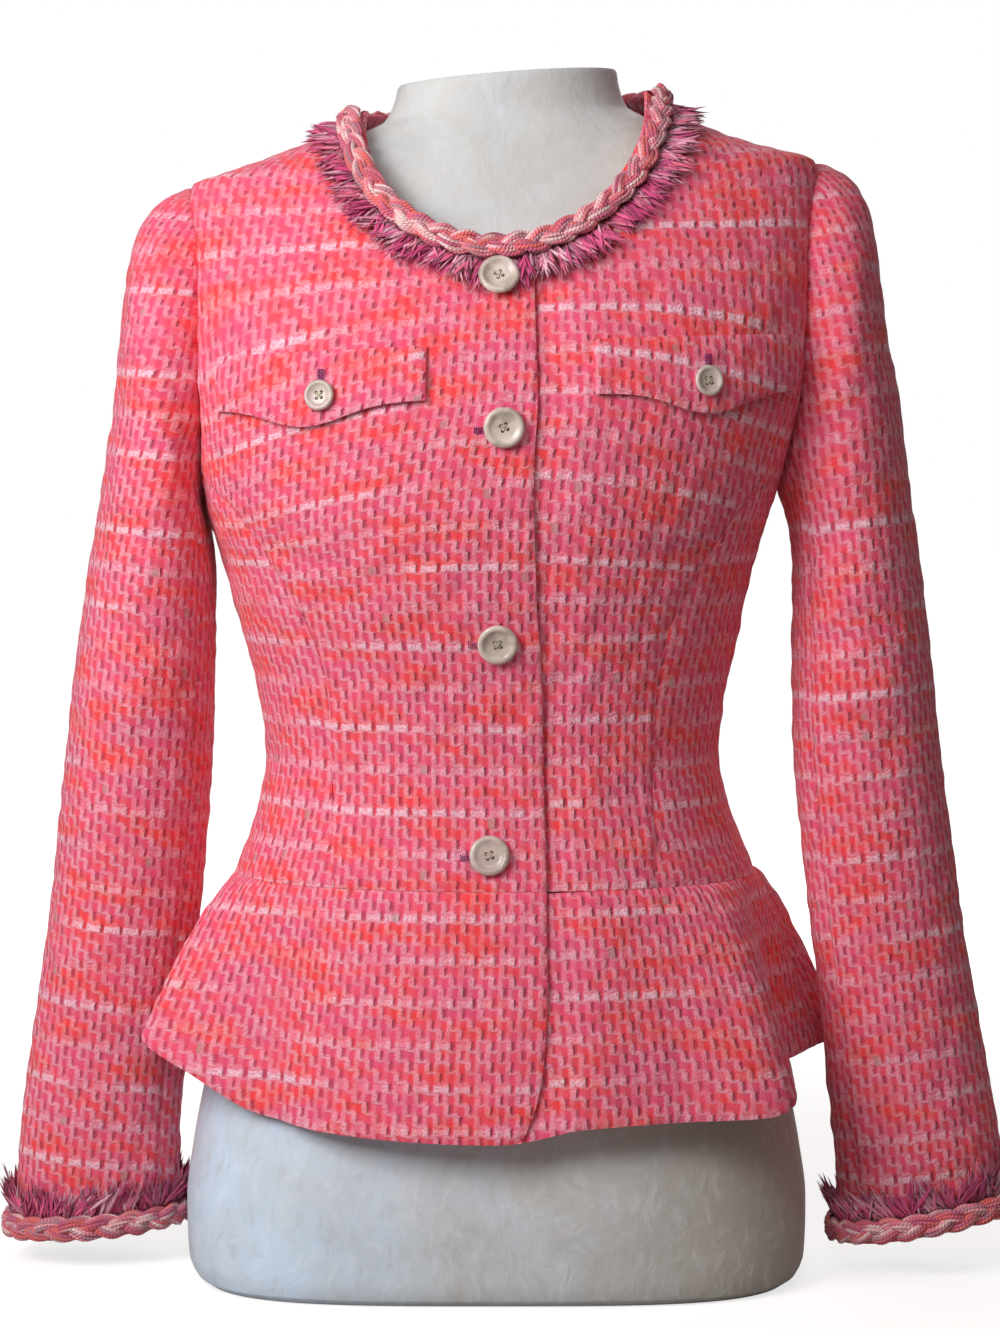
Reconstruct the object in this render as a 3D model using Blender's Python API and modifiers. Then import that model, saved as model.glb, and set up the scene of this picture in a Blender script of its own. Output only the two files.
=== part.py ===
"""A peplum jacket of boucle tweed, buttoned, standing on a limbless dress form.

Metres, +Z up. The origin is the middle of the form's flat base, -Y is the front and +X is the wearer's left.
Each sewn piece is its own closed wall of cloth, lofted through its seams over the body's sections.
"""

import math

import bmesh
import bpy
import numpy as np
from mathutils import Matrix, Vector
from mathutils.bvhtree import BVHTree

# Cloth wall, the gap across a seam, and the air under a lapped piece and under one laid on
WALL = 0.0025
SEAM_GAP = 0.0006
LAP_GAP = 0.0010
LAY_GAP = 0.0011

# How far over the cloth a look down on it starts
PROBE = 0.012

# Heights of the main lines
WAIST_Z = 0.238
NECK_FRONT_Z = 0.609
NECK_POINT_Z = 0.693
NECK_BACK_Z = 0.699
NECK_HALF_WIDTH = 0.0825
UNDERARM_Z = 0.462
TIP_Z = 0.6500

# Armhole: an egg in the side view, cut where it meets the body
ARMHOLE_POINTS = 20
ARMHOLE_FRONT = 0.052
ARMHOLE_BACK = 0.056
FRONT_NOTCH = 8
FRONT_FINE = 4
BACK_NOTCH = 14
BACK_FINE = 16

# Front opening: the wearer's right front laps over the left one
UNDERLAP = 0.020
LAP_BLEND = 0.030
LAP_COLUMNS = ("height", "edge")
LAP = (
    (0.098, 0.012),
    (0.108, 0.018),
    (0.122, 0.0235),
    (0.145, 0.0275),
    (0.190, 0.0295),
    (0.300, 0.0295),
    (0.420, 0.0265),
    (0.500, 0.0215),
    (0.610, 0.0170),
)

# The jacket sits a little askew on the form
LEAN = 0.040
LEAN_FROM = 0.38
LEAN_TO = 0.54
NECK_LEAN = 0.035
NECK_LEAN_FROM = 0.665
NECK_LEAN_TO = 0.700
DRIFT_COLUMNS = ("height", "drift")
DRIFT = (
    (0.000, -0.0020),
    (0.238, -0.0030),
    (0.309, -0.0045),
    (0.370, -0.0050),
    (0.400, -0.0064),
    (0.440, -0.0062),
    (0.480, -0.0035),
    (0.520, 0.0005),
    (0.560, 0.0010),
    (0.650, 0.0020),
    (0.710, 0.0045),
)

# Outer face of the bodice, level by level
TORSO_COLUMNS = ("height", "half_width", "front", "back", "squareness")
TORSO = (
    (0.238, 0.1560, 0.1080, 0.1000, 2.20),
    (0.262, 0.1455, 0.1020, 0.0920, 2.20),
    (0.285, 0.1385, 0.0980, 0.0870, 2.20),
    (0.309, 0.1350, 0.0955, 0.0850, 2.20),
    (0.345, 0.1392, 0.0985, 0.0890, 2.20),
    (0.381, 0.1478, 0.1060, 0.0950, 2.20),
    (0.416, 0.1560, 0.1145, 0.1000, 2.25),
    (0.462, 0.1695, 0.1220, 0.1050, 2.35),
    (0.500, 0.1795, 0.1230, 0.1075, 2.40),
    (0.540, 0.1870, 0.1165, 0.1080, 2.45),
    (0.580, 0.1910, 0.1040, 0.1060, 2.45),
    (0.610, 0.1920, 0.0905, 0.1010, 2.40),
    (0.635, 0.1900, 0.0775, 0.0930, 2.35),
    (0.6500, 0.1845, 0.0700, 0.0870, 2.30),
    (0.662, 0.1480, 0.0645, 0.0830, 2.25),
    (0.673, 0.1180, 0.0590, 0.0785, 2.20),
    (0.682, 0.0970, 0.0545, 0.0745, 2.20),
    (0.693, 0.0850, 0.0500, 0.0695, 2.20),
    (0.705, 0.0790, 0.0455, 0.0650, 2.20),
)

# Sleeve rings: outer and inner line of the front view, and half depth
SLEEVE_COLUMNS = ("station", "outer_x", "outer_z", "inner_x", "inner_z", "half_depth")
SLEEVE = (
    (0, 0.1845, 0.6500, 0.1705, 0.4620, 0.0540),
    (1, 0.1985, 0.6445, 0.1712, 0.4580, 0.0575),
    (2, 0.2095, 0.6345, 0.1716, 0.4530, 0.0595),
    (3, 0.2180, 0.6150, 0.1718, 0.4460, 0.0610),
    (4, 0.2230, 0.5850, 0.1720, 0.4370, 0.0615),
    (5, 0.2280, 0.5440, 0.1720, 0.4260, 0.0610),
    (6, 0.2345, 0.5030, 0.1720, 0.4120, 0.0600),
    (7, 0.2410, 0.4580, 0.1720, 0.3940, 0.0580),
    (8, 0.2485, 0.4110, 0.1720, 0.3700, 0.0555),
    (9, 0.2550, 0.3620, 0.1725, 0.3400, 0.0525),
    (10, 0.2605, 0.3130, 0.1740, 0.3030, 0.0490),
    (11, 0.2665, 0.2640, 0.1775, 0.2610, 0.0455),
    (12, 0.2725, 0.2160, 0.1820, 0.2160, 0.0420),
    (13, 0.2800, 0.1680, 0.1880, 0.1680, 0.0390),
    (14, 0.2875, 0.1210, 0.1925, 0.1210, 0.0365),
    (15, 0.2945, 0.0740, 0.1970, 0.0740, 0.0340),
    (16, 0.2990, 0.0210, 0.1990, 0.0210, 0.0320),
)
SLEEVE_FREE = 6.0
SWING_COLUMNS = ("height", "swing")
SWING = (
    (0.022, 0.0067),
    (0.120, 0.0048),
    (0.250, 0.0052),
    (0.330, 0.0062),
    (0.370, 0.0070),
    (0.400, 0.0088),
    (0.445, 0.0088),
    (0.475, 0.0066),
    (0.510, 0.0030),
    (0.560, 0.0000),
    (0.650, -0.0010),
)
SLEEVE_TOP = 0.46
SLEEVE_FORWARD = {-1: -0.012, 1: 0.018}
CUFF_TILT = {-1: -0.09, 1: 0.20}
CUFF_RISE = {-1: -0.004, 1: 0.005}
CUFF_MIDDLE = 0.250
TOP_SEAMS = (8, 13)

# Peplum: rings from the waist seam to the hem
PEPLUM_ROWS = 6
HEM_HALF_WIDTH = 0.185
HEM_FRONT = 0.138
HEM_BACK = 0.140
FLARE_POWER = 0.80
FOLD_POWER = 0.64
# Each fold: its angle, how far it pushes the hem out, and its spread
FOLDS = (
    (-95.0, -0.014, 10.0),
    (-74.0, 0.029, 8.5),
    (-63.0, 0.011, 9.0),
    (-44.0, -0.007, 10.0),
    (50.0, 0.028, 12.0),
    (74.0, -0.012, 9.0),
    (100.0, 0.029, 9.5),
    (118.0, -0.008, 8.0),
    (139.0, 0.026, 13.0),
    (180.0, 0.010, 15.0),
    (-137.0, 0.026, 13.0),
)
HEM_COLUMNS = ("angle", "height")
HEM = (
    (-180.0, 0.122),
    (-132.0, 0.127),
    (-100.0, 0.139),
    (-77.0, 0.147),
    (-64.0, 0.131),
    (-48.0, 0.108),
    (-25.0, 0.102),
    (0.0, 0.099),
    (14.0, 0.107),
    (45.0, 0.110),
    (58.0, 0.119),
    (75.0, 0.126),
    (98.0, 0.132),
    (135.0, 0.127),
    (180.0, 0.122),
)

# Dress form below and above the stretch that follows the bodice, in the bodice table's columns
FORM_LOW = (
    (0.000, 0.1730, 0.1100, 0.1060, 3.60),
    (0.004, 0.1790, 0.1145, 0.1105, 3.50),
    (0.014, 0.1835, 0.1165, 0.1130, 3.30),
    (0.045, 0.1850, 0.1170, 0.1160, 2.90),
    (0.075, 0.1815, 0.1150, 0.1160, 2.70),
    (0.105, 0.1760, 0.1110, 0.1140, 2.50),
    (0.150, 0.1650, 0.1090, 0.1080, 2.35),
    (0.195, 0.1550, 0.1050, 0.1000, 2.25),
    (0.228, 0.1480, 0.1010, 0.0940, 2.20),
)
FORM_NECK = (
    (0.6850, 0.0720, 0.0445, 0.0635, 2.10),
    (0.6920, 0.0680, 0.0440, 0.0610, 2.05),
    (0.7000, 0.0655, 0.0440, 0.0590, 2.00),
    (0.7065, 0.0645, 0.0440, 0.0580, 2.00),
)
CLEARANCE_COLUMNS = ("height", "clearance")
CLEARANCE = (
    (0.238, 0.0050),
    (0.310, 0.0045),
    (0.400, 0.0040),
    (0.470, 0.0038),
    (0.560, 0.0036),
    (0.600, 0.0042),
    (0.640, 0.0065),
    (0.661, 0.0055),
    (0.673, 0.0045),
    (0.684, 0.0045),
)
FORM_LEVELS = (0.254, 0.281, 0.309, 0.345, 0.385, 0.430, 0.480, 0.530, 0.580, 0.618)
FORM_SHOULDER_LEVELS = (0.6450, 0.6540, 0.6630, 0.6720, 0.6790)
FORM_SIDES = 32

# Pocket flaps: across the front, the inner end, the outer end and the button of each
POCKETS = {-1: (0.0420, 0.1610, 0.1000), 1: (0.0515, 0.1690, 0.1145)}
FLAP_TOP_Z = 0.548
FLAP_CORNER_Z = 0.5175
FLAP_POINT_DROP = 0.0120
FLAP_POINT_AT = 0.56
FLAP_POINT_SPREAD = 0.25
POCKET_BUTTON_Z = 0.5225
FLAP_WALL = 0.0022
FLAP_LIFT = 0.0012
FLAP_GRID = (4, 11)

# Buttons
BUTTON_DIAMETER = 0.023
BUTTON_THICKNESS = 0.0036
POCKET_BUTTON_DIAMETER = 0.0175
POCKET_BUTTON_THICKNESS = 0.0030
BUTTON_SIDES = 12
# Each front button: across the front and its height
BUTTONS = (
    (-0.0017, 0.5850),
    (0.0034, 0.5010),
    (0.0041, 0.3795),
    (-0.0026, 0.2580),
)
HOLE_RADIUS = 0.00115
HOLE_OFFSET = 0.0021

# Braid and fringe
BRAID_EDGE = 0.0006
BRAID_WIDTH = 0.012
BRAID_THICKNESS = 0.0042
# Lanes across the braid, each with its share of the full height
PLAIT = (
    (0.00, 0.25),
    (0.18, 0.95),
    (0.50, 0.92),
    (0.82, 0.95),
    (1.00, 0.25),
)
PLAIT_SWELL = 0.22
NECK_PLAITS = 29
CUFF_PLAITS = 16
NECK_TRIM_GAP = 0.0015
FRINGE_STRIP = 0.004
FRINGE_STRIP_HEIGHT = 0.0020
FRINGE_LENGTH = 0.014
FRINGE_SEED = 7
NECK_LOCKS = 46
CUFF_LOCKS = 18

WHOLE = slice(None)
RIGHT, LEFT = -1, 1
SIDE_NAMES = {RIGHT: "right", LEFT: "left"}
ALL_ROUND = {"left": WHOLE, "right": WHOLE, "bottom": WHOLE, "top": WHOLE}

TWEED = ("tweed", (0.74, 0.16, 0.24, 1.0), 0.85)
TRIM = ("braid_yarn", (0.70, 0.26, 0.30, 1.0), 0.80)
FRINGE_YARN = ("fringe_yarn", (0.53, 0.10, 0.17, 1.0), 0.85)
BUTTON_RESIN = ("button_resin", (0.58, 0.47, 0.40, 1.0), 0.30)
VELVET = ("form_velvet", (0.58, 0.60, 0.62, 1.0), 0.75)


def column(rows, names, name):
    """A smooth curve of one column over the table's first column, which never overshoots its rows."""
    table = np.array(rows, float)
    at, value = table[:, 0], table[:, names.index(name)]
    step = np.diff(at)
    slope = np.diff(value) / step
    tangent = np.zeros(len(at))
    tangent[0], tangent[-1] = slope[0], slope[-1]
    same_way = slope[:-1] * slope[1:] > 0
    before, after = 2 * step[1:] + step[:-1], step[1:] + 2 * step[:-1]
    with np.errstate(divide="ignore", invalid="ignore"):
        mean = (before + after) / (before / slope[:-1] + after / slope[1:])
    tangent[1:-1] = np.where(same_way, mean, 0.0)

    def read(where):
        where = np.clip(np.asarray(where, float), at[0], at[-1])
        index = np.clip(np.searchsorted(at, where, side="right") - 1, 0, len(at) - 2)
        width = step[index]
        part = (where - at[index]) / width
        return (
            value[index] * (1 + 2 * part) * (1 - part) ** 2
            + tangent[index] * width * part * (1 - part) ** 2
            + value[index + 1] * part**2 * (3 - 2 * part)
            + tangent[index + 1] * width * part**2 * (part - 1)
        )

    return read


half_width_at = column(TORSO, TORSO_COLUMNS, "half_width")
front_at = column(TORSO, TORSO_COLUMNS, "front")
back_at = column(TORSO, TORSO_COLUMNS, "back")
squareness_at = column(TORSO, TORSO_COLUMNS, "squareness")
lap_edge_at = column(LAP, LAP_COLUMNS, "edge")
drift_at = column(DRIFT, DRIFT_COLUMNS, "drift")
swing_at = column(SWING, SWING_COLUMNS, "swing")
hem_height_at = column(HEM, HEM_COLUMNS, "height")
clearance_at = column(CLEARANCE, CLEARANCE_COLUMNS, "clearance")
sleeve_at = {name: column(SLEEVE, SLEEVE_COLUMNS, name) for name in SLEEVE_COLUMNS[1:]}


def smooth(value, low, high):
    part = np.clip((value - low) / (high - low), 0.0, 1.0)
    return part * part * (3 - 2 * part)


def unit(vectors):
    return vectors / np.maximum(np.linalg.norm(vectors, axis=-1, keepdims=True), 1e-12)


def settle(points):
    """Moves points of the upright pattern to where the worn jacket and its form really stand."""
    placed = np.array(points, float)
    x, z = placed[..., 0].copy(), placed[..., 2].copy()
    lean = LEAN * smooth(z, LEAN_FROM, LEAN_TO) + NECK_LEAN * smooth(z, NECK_LEAN_FROM, NECK_LEAN_TO)
    placed[..., 2] = z + lean * x
    placed[..., 0] = x + drift_at(z)
    return placed


def torso_level(points):
    """0 on the bodice's outer face, negative inside it."""
    x, y, z = points[..., 0], points[..., 1], points[..., 2]
    depth = np.where(y < 0, front_at(z), back_at(z))
    power = squareness_at(z)
    return ((np.abs(x) / half_width_at(z)) ** power + (np.abs(y) / depth) ** power) ** (1 / power) - 1


def torso_gradient(points):
    step = 1e-5
    found = np.zeros_like(points)
    for axis in range(3):
        shift = np.zeros(3)
        shift[axis] = step
        found[..., axis] = (torso_level(points + shift) - torso_level(points - shift)) / (2 * step)
    return found


def torso_normal(points):
    return unit(torso_gradient(points))


def onto_torso(points):
    """Draws points near the bodice's outer face straight onto it."""
    points = np.array(points, float)
    for _ in range(14):
        gradient = torso_gradient(points)
        size = np.maximum((gradient**2).sum(-1), 1.0)
        points -= (torso_level(points) / size)[..., None] * gradient
    return points


def front_point(x, z):
    """The point of the front at this place in the front view."""
    power = squareness_at(z)
    part = np.clip(np.abs(x) / half_width_at(z), 0.0, 1.0) ** power
    return np.stack([x + 0 * z, -front_at(z) * (1 - part) ** (1 / power), z + 0 * x], -1)


def ring(angle, half_width, front, back, power, z):
    """A point of a level section; the angle in degrees is 0 at the front and 90 on the +X side."""
    turn = np.radians(angle)
    across, along = np.sin(turn), np.cos(turn)
    depth = np.where(along > 0, front, back)
    x = half_width * np.sign(across) * np.abs(across) ** (2 / power)
    y = -depth * np.sign(along) * np.abs(along) ** (2 / power)
    return np.stack(np.broadcast_arrays(x, y, z), -1)


def torso_ring(angle, z):
    return ring(angle, half_width_at(z), front_at(z), back_at(z), squareness_at(z), z)


def resample(points, count):
    """The same polyline as count equal steps along its length."""
    length = np.concatenate([[0], np.cumsum(np.linalg.norm(np.diff(points, axis=0), axis=1))])
    at = np.linspace(0, length[-1], count + 1)
    return np.stack([np.interp(at, length, points[:, axis]) for axis in range(3)], -1)


def split_chords(points, parts):
    """Adds points on the straight chords of a polyline, so its outline stays the same."""
    steps = np.arange(len(points) * parts - parts + 1) / parts
    return np.stack([np.interp(steps, np.arange(len(points)), points[:, axis]) for axis in range(3)], -1)


# Seams of the half on the +X side


def armhole_point(turn):
    """0 is the shoulder tip, 90 the front, 180 the underarm and 270 the back."""
    angle = np.radians(turn)
    reach = np.where(np.sin(angle) > 0, ARMHOLE_FRONT, ARMHOLE_BACK)
    y = -reach * np.sin(angle)
    z = (TIP_Z + UNDERARM_Z) / 2 + (TIP_Z - UNDERARM_Z) / 2 * np.cos(angle)
    power = squareness_at(z)
    depth = np.where(y < 0, front_at(z), back_at(z))
    x = half_width_at(z) * (1 - (np.abs(y) / depth) ** power) ** (1 / power)
    return np.stack([x, y, z], -1)


ARMHOLE_TURNS = np.arange(ARMHOLE_POINTS) * 360 / ARMHOLE_POINTS
ARMHOLE = armhole_point(ARMHOLE_TURNS)
PRINCESS_ROWS = 8
# Front view of the front princess seam, from the waist seam up to the armhole
PRINCESS_COLUMNS = ("height", "across")
PRINCESS_FRONT = (
    (0.238, 0.0925),
    (0.300, 0.0935),
    (0.350, 0.0950),
    (0.380, 0.1020),
    (0.408, 0.1150),
    (0.435, 0.1330),
    (0.458, 0.1490),
)
PRINCESS_BACK = (
    (0.238, 0.0900),
    (0.300, 0.0820),
    (0.360, 0.0880),
    (0.420, 0.1060),
    (0.470, 0.1280),
)


def princess(rows, notch, side_of_body):
    """A princess seam as a polyline on the body, ending in an armhole point."""
    heights = np.linspace(rows[0][0], rows[-1][0], 40)
    across = column(rows, PRINCESS_COLUMNS, "across")(heights)
    line = front_point(across, heights)
    if side_of_body > 0:
        power = squareness_at(heights)
        part = (across / half_width_at(heights)) ** power
        line[:, 1] = back_at(heights) * (1 - part) ** (1 / power)
    last = onto_torso(np.linspace(line[-1], ARMHOLE[notch], 12))
    last[-1] = ARMHOLE[notch]
    joined = onto_torso(resample(np.concatenate([line, last[1:]]), PRINCESS_ROWS))
    joined[0], joined[-1] = line[0], ARMHOLE[notch]
    return joined


def side_seam():
    heights = np.linspace(WAIST_Z, UNDERARM_Z, PRINCESS_ROWS + 1)
    return np.stack([half_width_at(heights), 0 * heights, heights], -1)


def shoulder_seam(count):
    """From the neck point down to the shoulder tip, along the ridge."""
    heights = np.linspace(NECK_POINT_Z, TIP_Z, 60)
    return resample(np.stack([half_width_at(heights), 0 * heights, heights], -1), count)


def neckline(first, last, count):
    """Neck edge from one turn to another; 0 is the front middle, 90 the neck point and 180 the back."""
    turn = np.radians(np.linspace(first, last, 400))
    drop = np.maximum(np.cos(turn), 0)
    rise = np.sin(np.maximum(np.abs(turn) - np.pi / 2, 0)) ** 2
    z = NECK_POINT_Z - (NECK_POINT_Z - NECK_FRONT_Z) * drop + (NECK_BACK_Z - NECK_POINT_Z) * rise
    across = np.where(drop > 0, NECK_HALF_WIDTH, half_width_at(z)) * np.sin(turn)
    line = front_point(across, z)
    behind = np.abs(turn) > np.pi / 2
    power = squareness_at(z)
    part = np.clip(np.abs(across) / half_width_at(z), 0, 1) ** power
    line[behind, 1] = (back_at(z) * (1 - part) ** (1 / power))[behind]
    return resample(line, count)


NECK_COUNT = 7
NECK_BACK_COUNT = 7
SHOULDER_COUNT = 5
SIDE_COLUMNS = 3
PRINCESS_FRONT_LINE = princess(PRINCESS_FRONT, FRONT_NOTCH, -1)
PRINCESS_BACK_LINE = princess(PRINCESS_BACK, BACK_NOTCH, 1)
SIDE_LINE = side_seam()
SHOULDER_LINE = shoulder_seam(SHOULDER_COUNT)


def coons(bottom, top, left, right):
    """A grid between four polylines; rows run from bottom to top and columns from left to right."""
    across = np.linspace(0, 1, len(bottom))[None, :, None]
    up = np.linspace(0, 1, len(left))[:, None, None]
    ends = (1 - across) * left[:, None] + across * right[:, None]
    sides = (1 - up) * bottom[None] + up * top[None]
    corners = (
        (1 - across) * (1 - up) * bottom[0]
        + across * (1 - up) * bottom[-1]
        + (1 - across) * up * top[0]
        + across * up * top[-1]
    )
    return ends + sides - corners


def fitted(bottom, top, left, right):
    """The same grid with its inside drawn onto the bodice's outer face."""
    grid = coons(bottom, top, left, right)
    grid[1:-1, 1:-1] = onto_torso(grid[1:-1, 1:-1])
    return grid


def sleeve_point(turn, station):
    """A point of the sleeve's outer face; turn as on the armhole, station as in the sleeve's table."""
    turn, station = np.broadcast_arrays(np.asarray(turn, float), np.asarray(station, float))
    angle = np.radians(turn)
    outer = np.stack([sleeve_at["outer_x"](station), 0 * station, sleeve_at["outer_z"](station)], -1)
    inner = np.stack([sleeve_at["inner_x"](station), 0 * station, sleeve_at["inner_z"](station)], -1)
    points = (outer + inner) / 2 + (outer - inner) / 2 * np.cos(angle)[..., None]
    points[..., 1] = -sleeve_at["half_depth"](station) * np.sin(angle)
    start = armhole_point(turn)
    plain = np.zeros_like(start)
    first = {name: reader(0.0) for name, reader in sleeve_at.items()}
    plain[..., 0] = (first["outer_x"] + first["inner_x"]) / 2
    plain[..., 0] += (first["outer_x"] - first["inner_x"]) / 2 * np.cos(angle)
    plain[..., 1] = -first["half_depth"] * np.sin(angle)
    plain[..., 2] = (first["outer_z"] + first["inner_z"]) / 2
    plain[..., 2] += (first["outer_z"] - first["inner_z"]) / 2 * np.cos(angle)
    hold = np.clip(1 - station / 4, 0, 1) ** 1.5
    return points + hold[..., None] * (start - plain)


def hung_sleeve(turn, station, side):
    """A point of the sleeve where this arm hangs; it is still on the +X side."""
    placed = sleeve_point(turn, station)
    height = placed[..., 2]
    below = np.clip((SLEEVE_TOP - height) / SLEEVE_TOP, 0, 1)
    free = smooth(np.asarray(station, float), 0.0, SLEEVE_FREE)
    slant = CUFF_TILT[side] * (placed[..., 0] - CUFF_MIDDLE) + CUFF_RISE[side]
    placed[..., 0] += side * swing_at(height) * free
    placed[..., 1] -= SLEEVE_FORWARD[side] * below
    placed[..., 2] = height + slant * smooth(below, 0.4, 1.0)
    return placed


def sleeve_normal(turn, station, side):
    step = 0.02
    around = hung_sleeve(turn + step, station, side) - hung_sleeve(turn - step, station, side)
    low = np.maximum(station - step, 0.0)
    along = hung_sleeve(turn, station + step, side) - hung_sleeve(turn, low, side)
    return unit(np.cross(around, along))


def armhole_mitre(side):
    """The way from the armhole's outer edge to its inner one, where the bodice and the sleeve meet."""
    body = torso_normal(ARMHOLE)
    arm = sleeve_normal(ARMHOLE_TURNS, np.full(ARMHOLE_POINTS, 0.3), side)
    middle = unit(body + arm)
    stretch = np.minimum(1 / np.maximum((middle * body).sum(-1), 0.2), 2.0)
    return -middle * (WALL * stretch)[:, None]


def set_back(outer, depth, seams):
    """Parts the grid's seam edges from their neighbours by half a seam gap; depth points to the inside.

    seams names each edge, with the part of it that is sewn where the rest is a free edge.
    """
    shift = np.zeros_like(outer)
    edges = {
        "left": (np.s_[:, 0], np.s_[:, 1]),
        "right": (np.s_[:, -1], np.s_[:, -2]),
        "bottom": (np.s_[0, :], np.s_[1, :]),
        "top": (np.s_[-1, :], np.s_[-2, :]),
    }
    for name, sewn in seams.items():
        edge, inside = edges[name]
        along = np.gradient(outer[edge], axis=0)
        away = unit(np.cross(along, depth[edge]))
        away *= np.sign(((outer[inside] - outer[edge]) * away).sum(-1, keepdims=True))
        shift[edge][sewn] += away[sewn] * SEAM_GAP / 2
    return outer + shift, depth


def wall_mesh(name, outer, inner, flip):
    """A closed wall from a grid of outer points and the same grid of inner points."""
    rows, columns = outer.shape[:2]
    mesh = bmesh.new()
    sheets = [[[mesh.verts.new(p) for p in line] for line in grid] for grid in (outer, inner)]
    front, back = sheets
    faces = []
    for i in range(rows - 1):
        for j in range(columns - 1):
            faces.append((front[i][j], front[i][j + 1], front[i + 1][j + 1], front[i + 1][j]))
            faces.append((back[i][j], back[i + 1][j], back[i + 1][j + 1], back[i][j + 1]))
    border = [(0, j) for j in range(columns)] + [(i, columns - 1) for i in range(1, rows)]
    border += [(rows - 1, j) for j in range(columns - 2, -1, -1)] + [(i, 0) for i in range(rows - 2, 0, -1)]
    for (i, j), (k, m) in zip(border, border[1:] + border[:1]):
        faces.append((front[k][m], front[i][j], back[i][j], back[k][m]))
    for corners in faces:
        mesh.faces.new(corners[::-1] if flip else corners)
    data = bpy.data.meshes.new(name)
    mesh.to_mesh(data)
    mesh.free()
    data.shade_smooth()
    data.set_sharp_from_angle(angle=math.radians(50))
    return data


def add_object(name, data, finish):
    piece = bpy.data.objects.new(name, data)
    data.materials.append(material(*finish))
    JACKET.objects.link(piece)
    return piece


def material(name, color, roughness):
    found = bpy.data.materials.get(name)
    if found:
        return found
    made = bpy.data.materials.new(name)
    made.use_nodes = True
    shader = made.node_tree.nodes["Principled BSDF"]
    shader.inputs["Base Color"].default_value = color
    shader.inputs["Roughness"].default_value = roughness
    shader.inputs["Metallic"].default_value = 0.0
    made.diffuse_color = color
    return made


def mirrored(points, side):
    return points * np.array([side, 1.0, 1.0])


def add_wall(name, outer, depth, side, seams, finish=TWEED):
    """A wall built on the +X side and put on its own side; depth leads from its outer to its inner face."""
    outer, depth = set_back(outer, depth, seams)
    inner = outer + depth
    mesh = wall_mesh(name, settle(mirrored(outer, side)), settle(mirrored(inner, side)), flip=side < 0)
    return add_object(name, mesh, finish)


def lap_depth(points, side):
    """How far the wearer's left front lies under the right one, near the front edge."""
    if side < 0:
        return np.zeros(points.shape[:-1])
    past = points[..., 0] - lap_edge_at(points[..., 2])
    in_front = np.where(points[..., 1] < 0, 1.0, 0.0)
    return (WALL + LAP_GAP) * (1 - smooth(past, 0.0020, LAP_BLEND)) * in_front


def armhole_rows(values, notch, fine):
    """An armhole polyline from a notch up to the shoulder tip, its chords halved from the fine point on."""
    step = -1 if notch < ARMHOLE_POINTS // 2 else 1
    index = np.arange(notch, fine + step, step) % ARMHOLE_POINTS
    last = 0 if step < 0 else ARMHOLE_POINTS
    upper = np.arange(fine, last + step, step) % ARMHOLE_POINTS
    return np.concatenate([values[index], split_chords(values[upper], 2)[1:]])


def centre_front(side):
    """Front panel from the lapped edge to the princess seam and the armhole."""
    armhole = armhole_rows(ARMHOLE, FRONT_NOTCH, FRONT_FINE)
    right = np.concatenate([PRINCESS_FRONT_LINE, armhole[1:]])
    heights = right[:, 2]
    heights = WAIST_Z + (heights - WAIST_Z) * (NECK_FRONT_Z + 0.0015 - WAIST_Z) / (TIP_Z - WAIST_Z)
    edge = -lap_edge_at(heights) if side < 0 else np.full(len(heights), -UNDERLAP)
    left = front_point(edge, heights)
    start = math.degrees(math.asin(left[-1, 0] / NECK_HALF_WIDTH))
    neck = neckline(start, 90.0, NECK_COUNT)
    left[-1] = neck[0]
    top = np.concatenate([neck, SHOULDER_LINE[1:]])
    bottom = front_point(np.linspace(left[0, 0], right[0, 0], len(top)), np.full(len(top), WAIST_Z))
    outer = fitted(bottom, top, left, right)
    depth = -torso_normal(outer) * WALL
    depth[0, :, 2] = 0
    depth[len(PRINCESS_FRONT_LINE) - 1 :, -1] = armhole_rows(armhole_mitre(side), FRONT_NOTCH, FRONT_FINE)
    outer = outer - torso_normal(outer) * lap_depth(outer, side)[..., None]
    seams = {"right": WHOLE, "bottom": WHOLE, "top": slice(NECK_COUNT, None)}
    add_wall(f"centre_front_{SIDE_NAMES[side]}", outer, depth, side, seams)


def side_front(side):
    top = split_chords(ARMHOLE[FRONT_NOTCH : ARMHOLE_POINTS // 2 + 1], SIDE_COLUMNS)
    bottom = waist_arc(PRINCESS_FRONT_LINE[0], SIDE_LINE[0], len(top))
    outer = fitted(bottom, top, PRINCESS_FRONT_LINE, SIDE_LINE)
    depth = -torso_normal(outer) * WALL
    depth[0, :, 2] = 0
    mitre = armhole_mitre(side)[FRONT_NOTCH : ARMHOLE_POINTS // 2 + 1]
    depth[-1] = split_chords(mitre, SIDE_COLUMNS)
    add_wall(f"side_front_{SIDE_NAMES[side]}", outer, depth, side, ALL_ROUND)


def side_back(side):
    parts = 2
    top = split_chords(ARMHOLE[ARMHOLE_POINTS // 2 : BACK_NOTCH + 1], parts)
    bottom = waist_arc(SIDE_LINE[0], PRINCESS_BACK_LINE[0], len(top))
    outer = fitted(bottom, top, SIDE_LINE, PRINCESS_BACK_LINE)
    depth = -torso_normal(outer) * WALL
    depth[0, :, 2] = 0
    mitre = armhole_mitre(side)[ARMHOLE_POINTS // 2 : BACK_NOTCH + 1]
    depth[-1] = split_chords(mitre, parts)
    add_wall(f"side_back_{SIDE_NAMES[side]}", outer, depth, side, ALL_ROUND)


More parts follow.
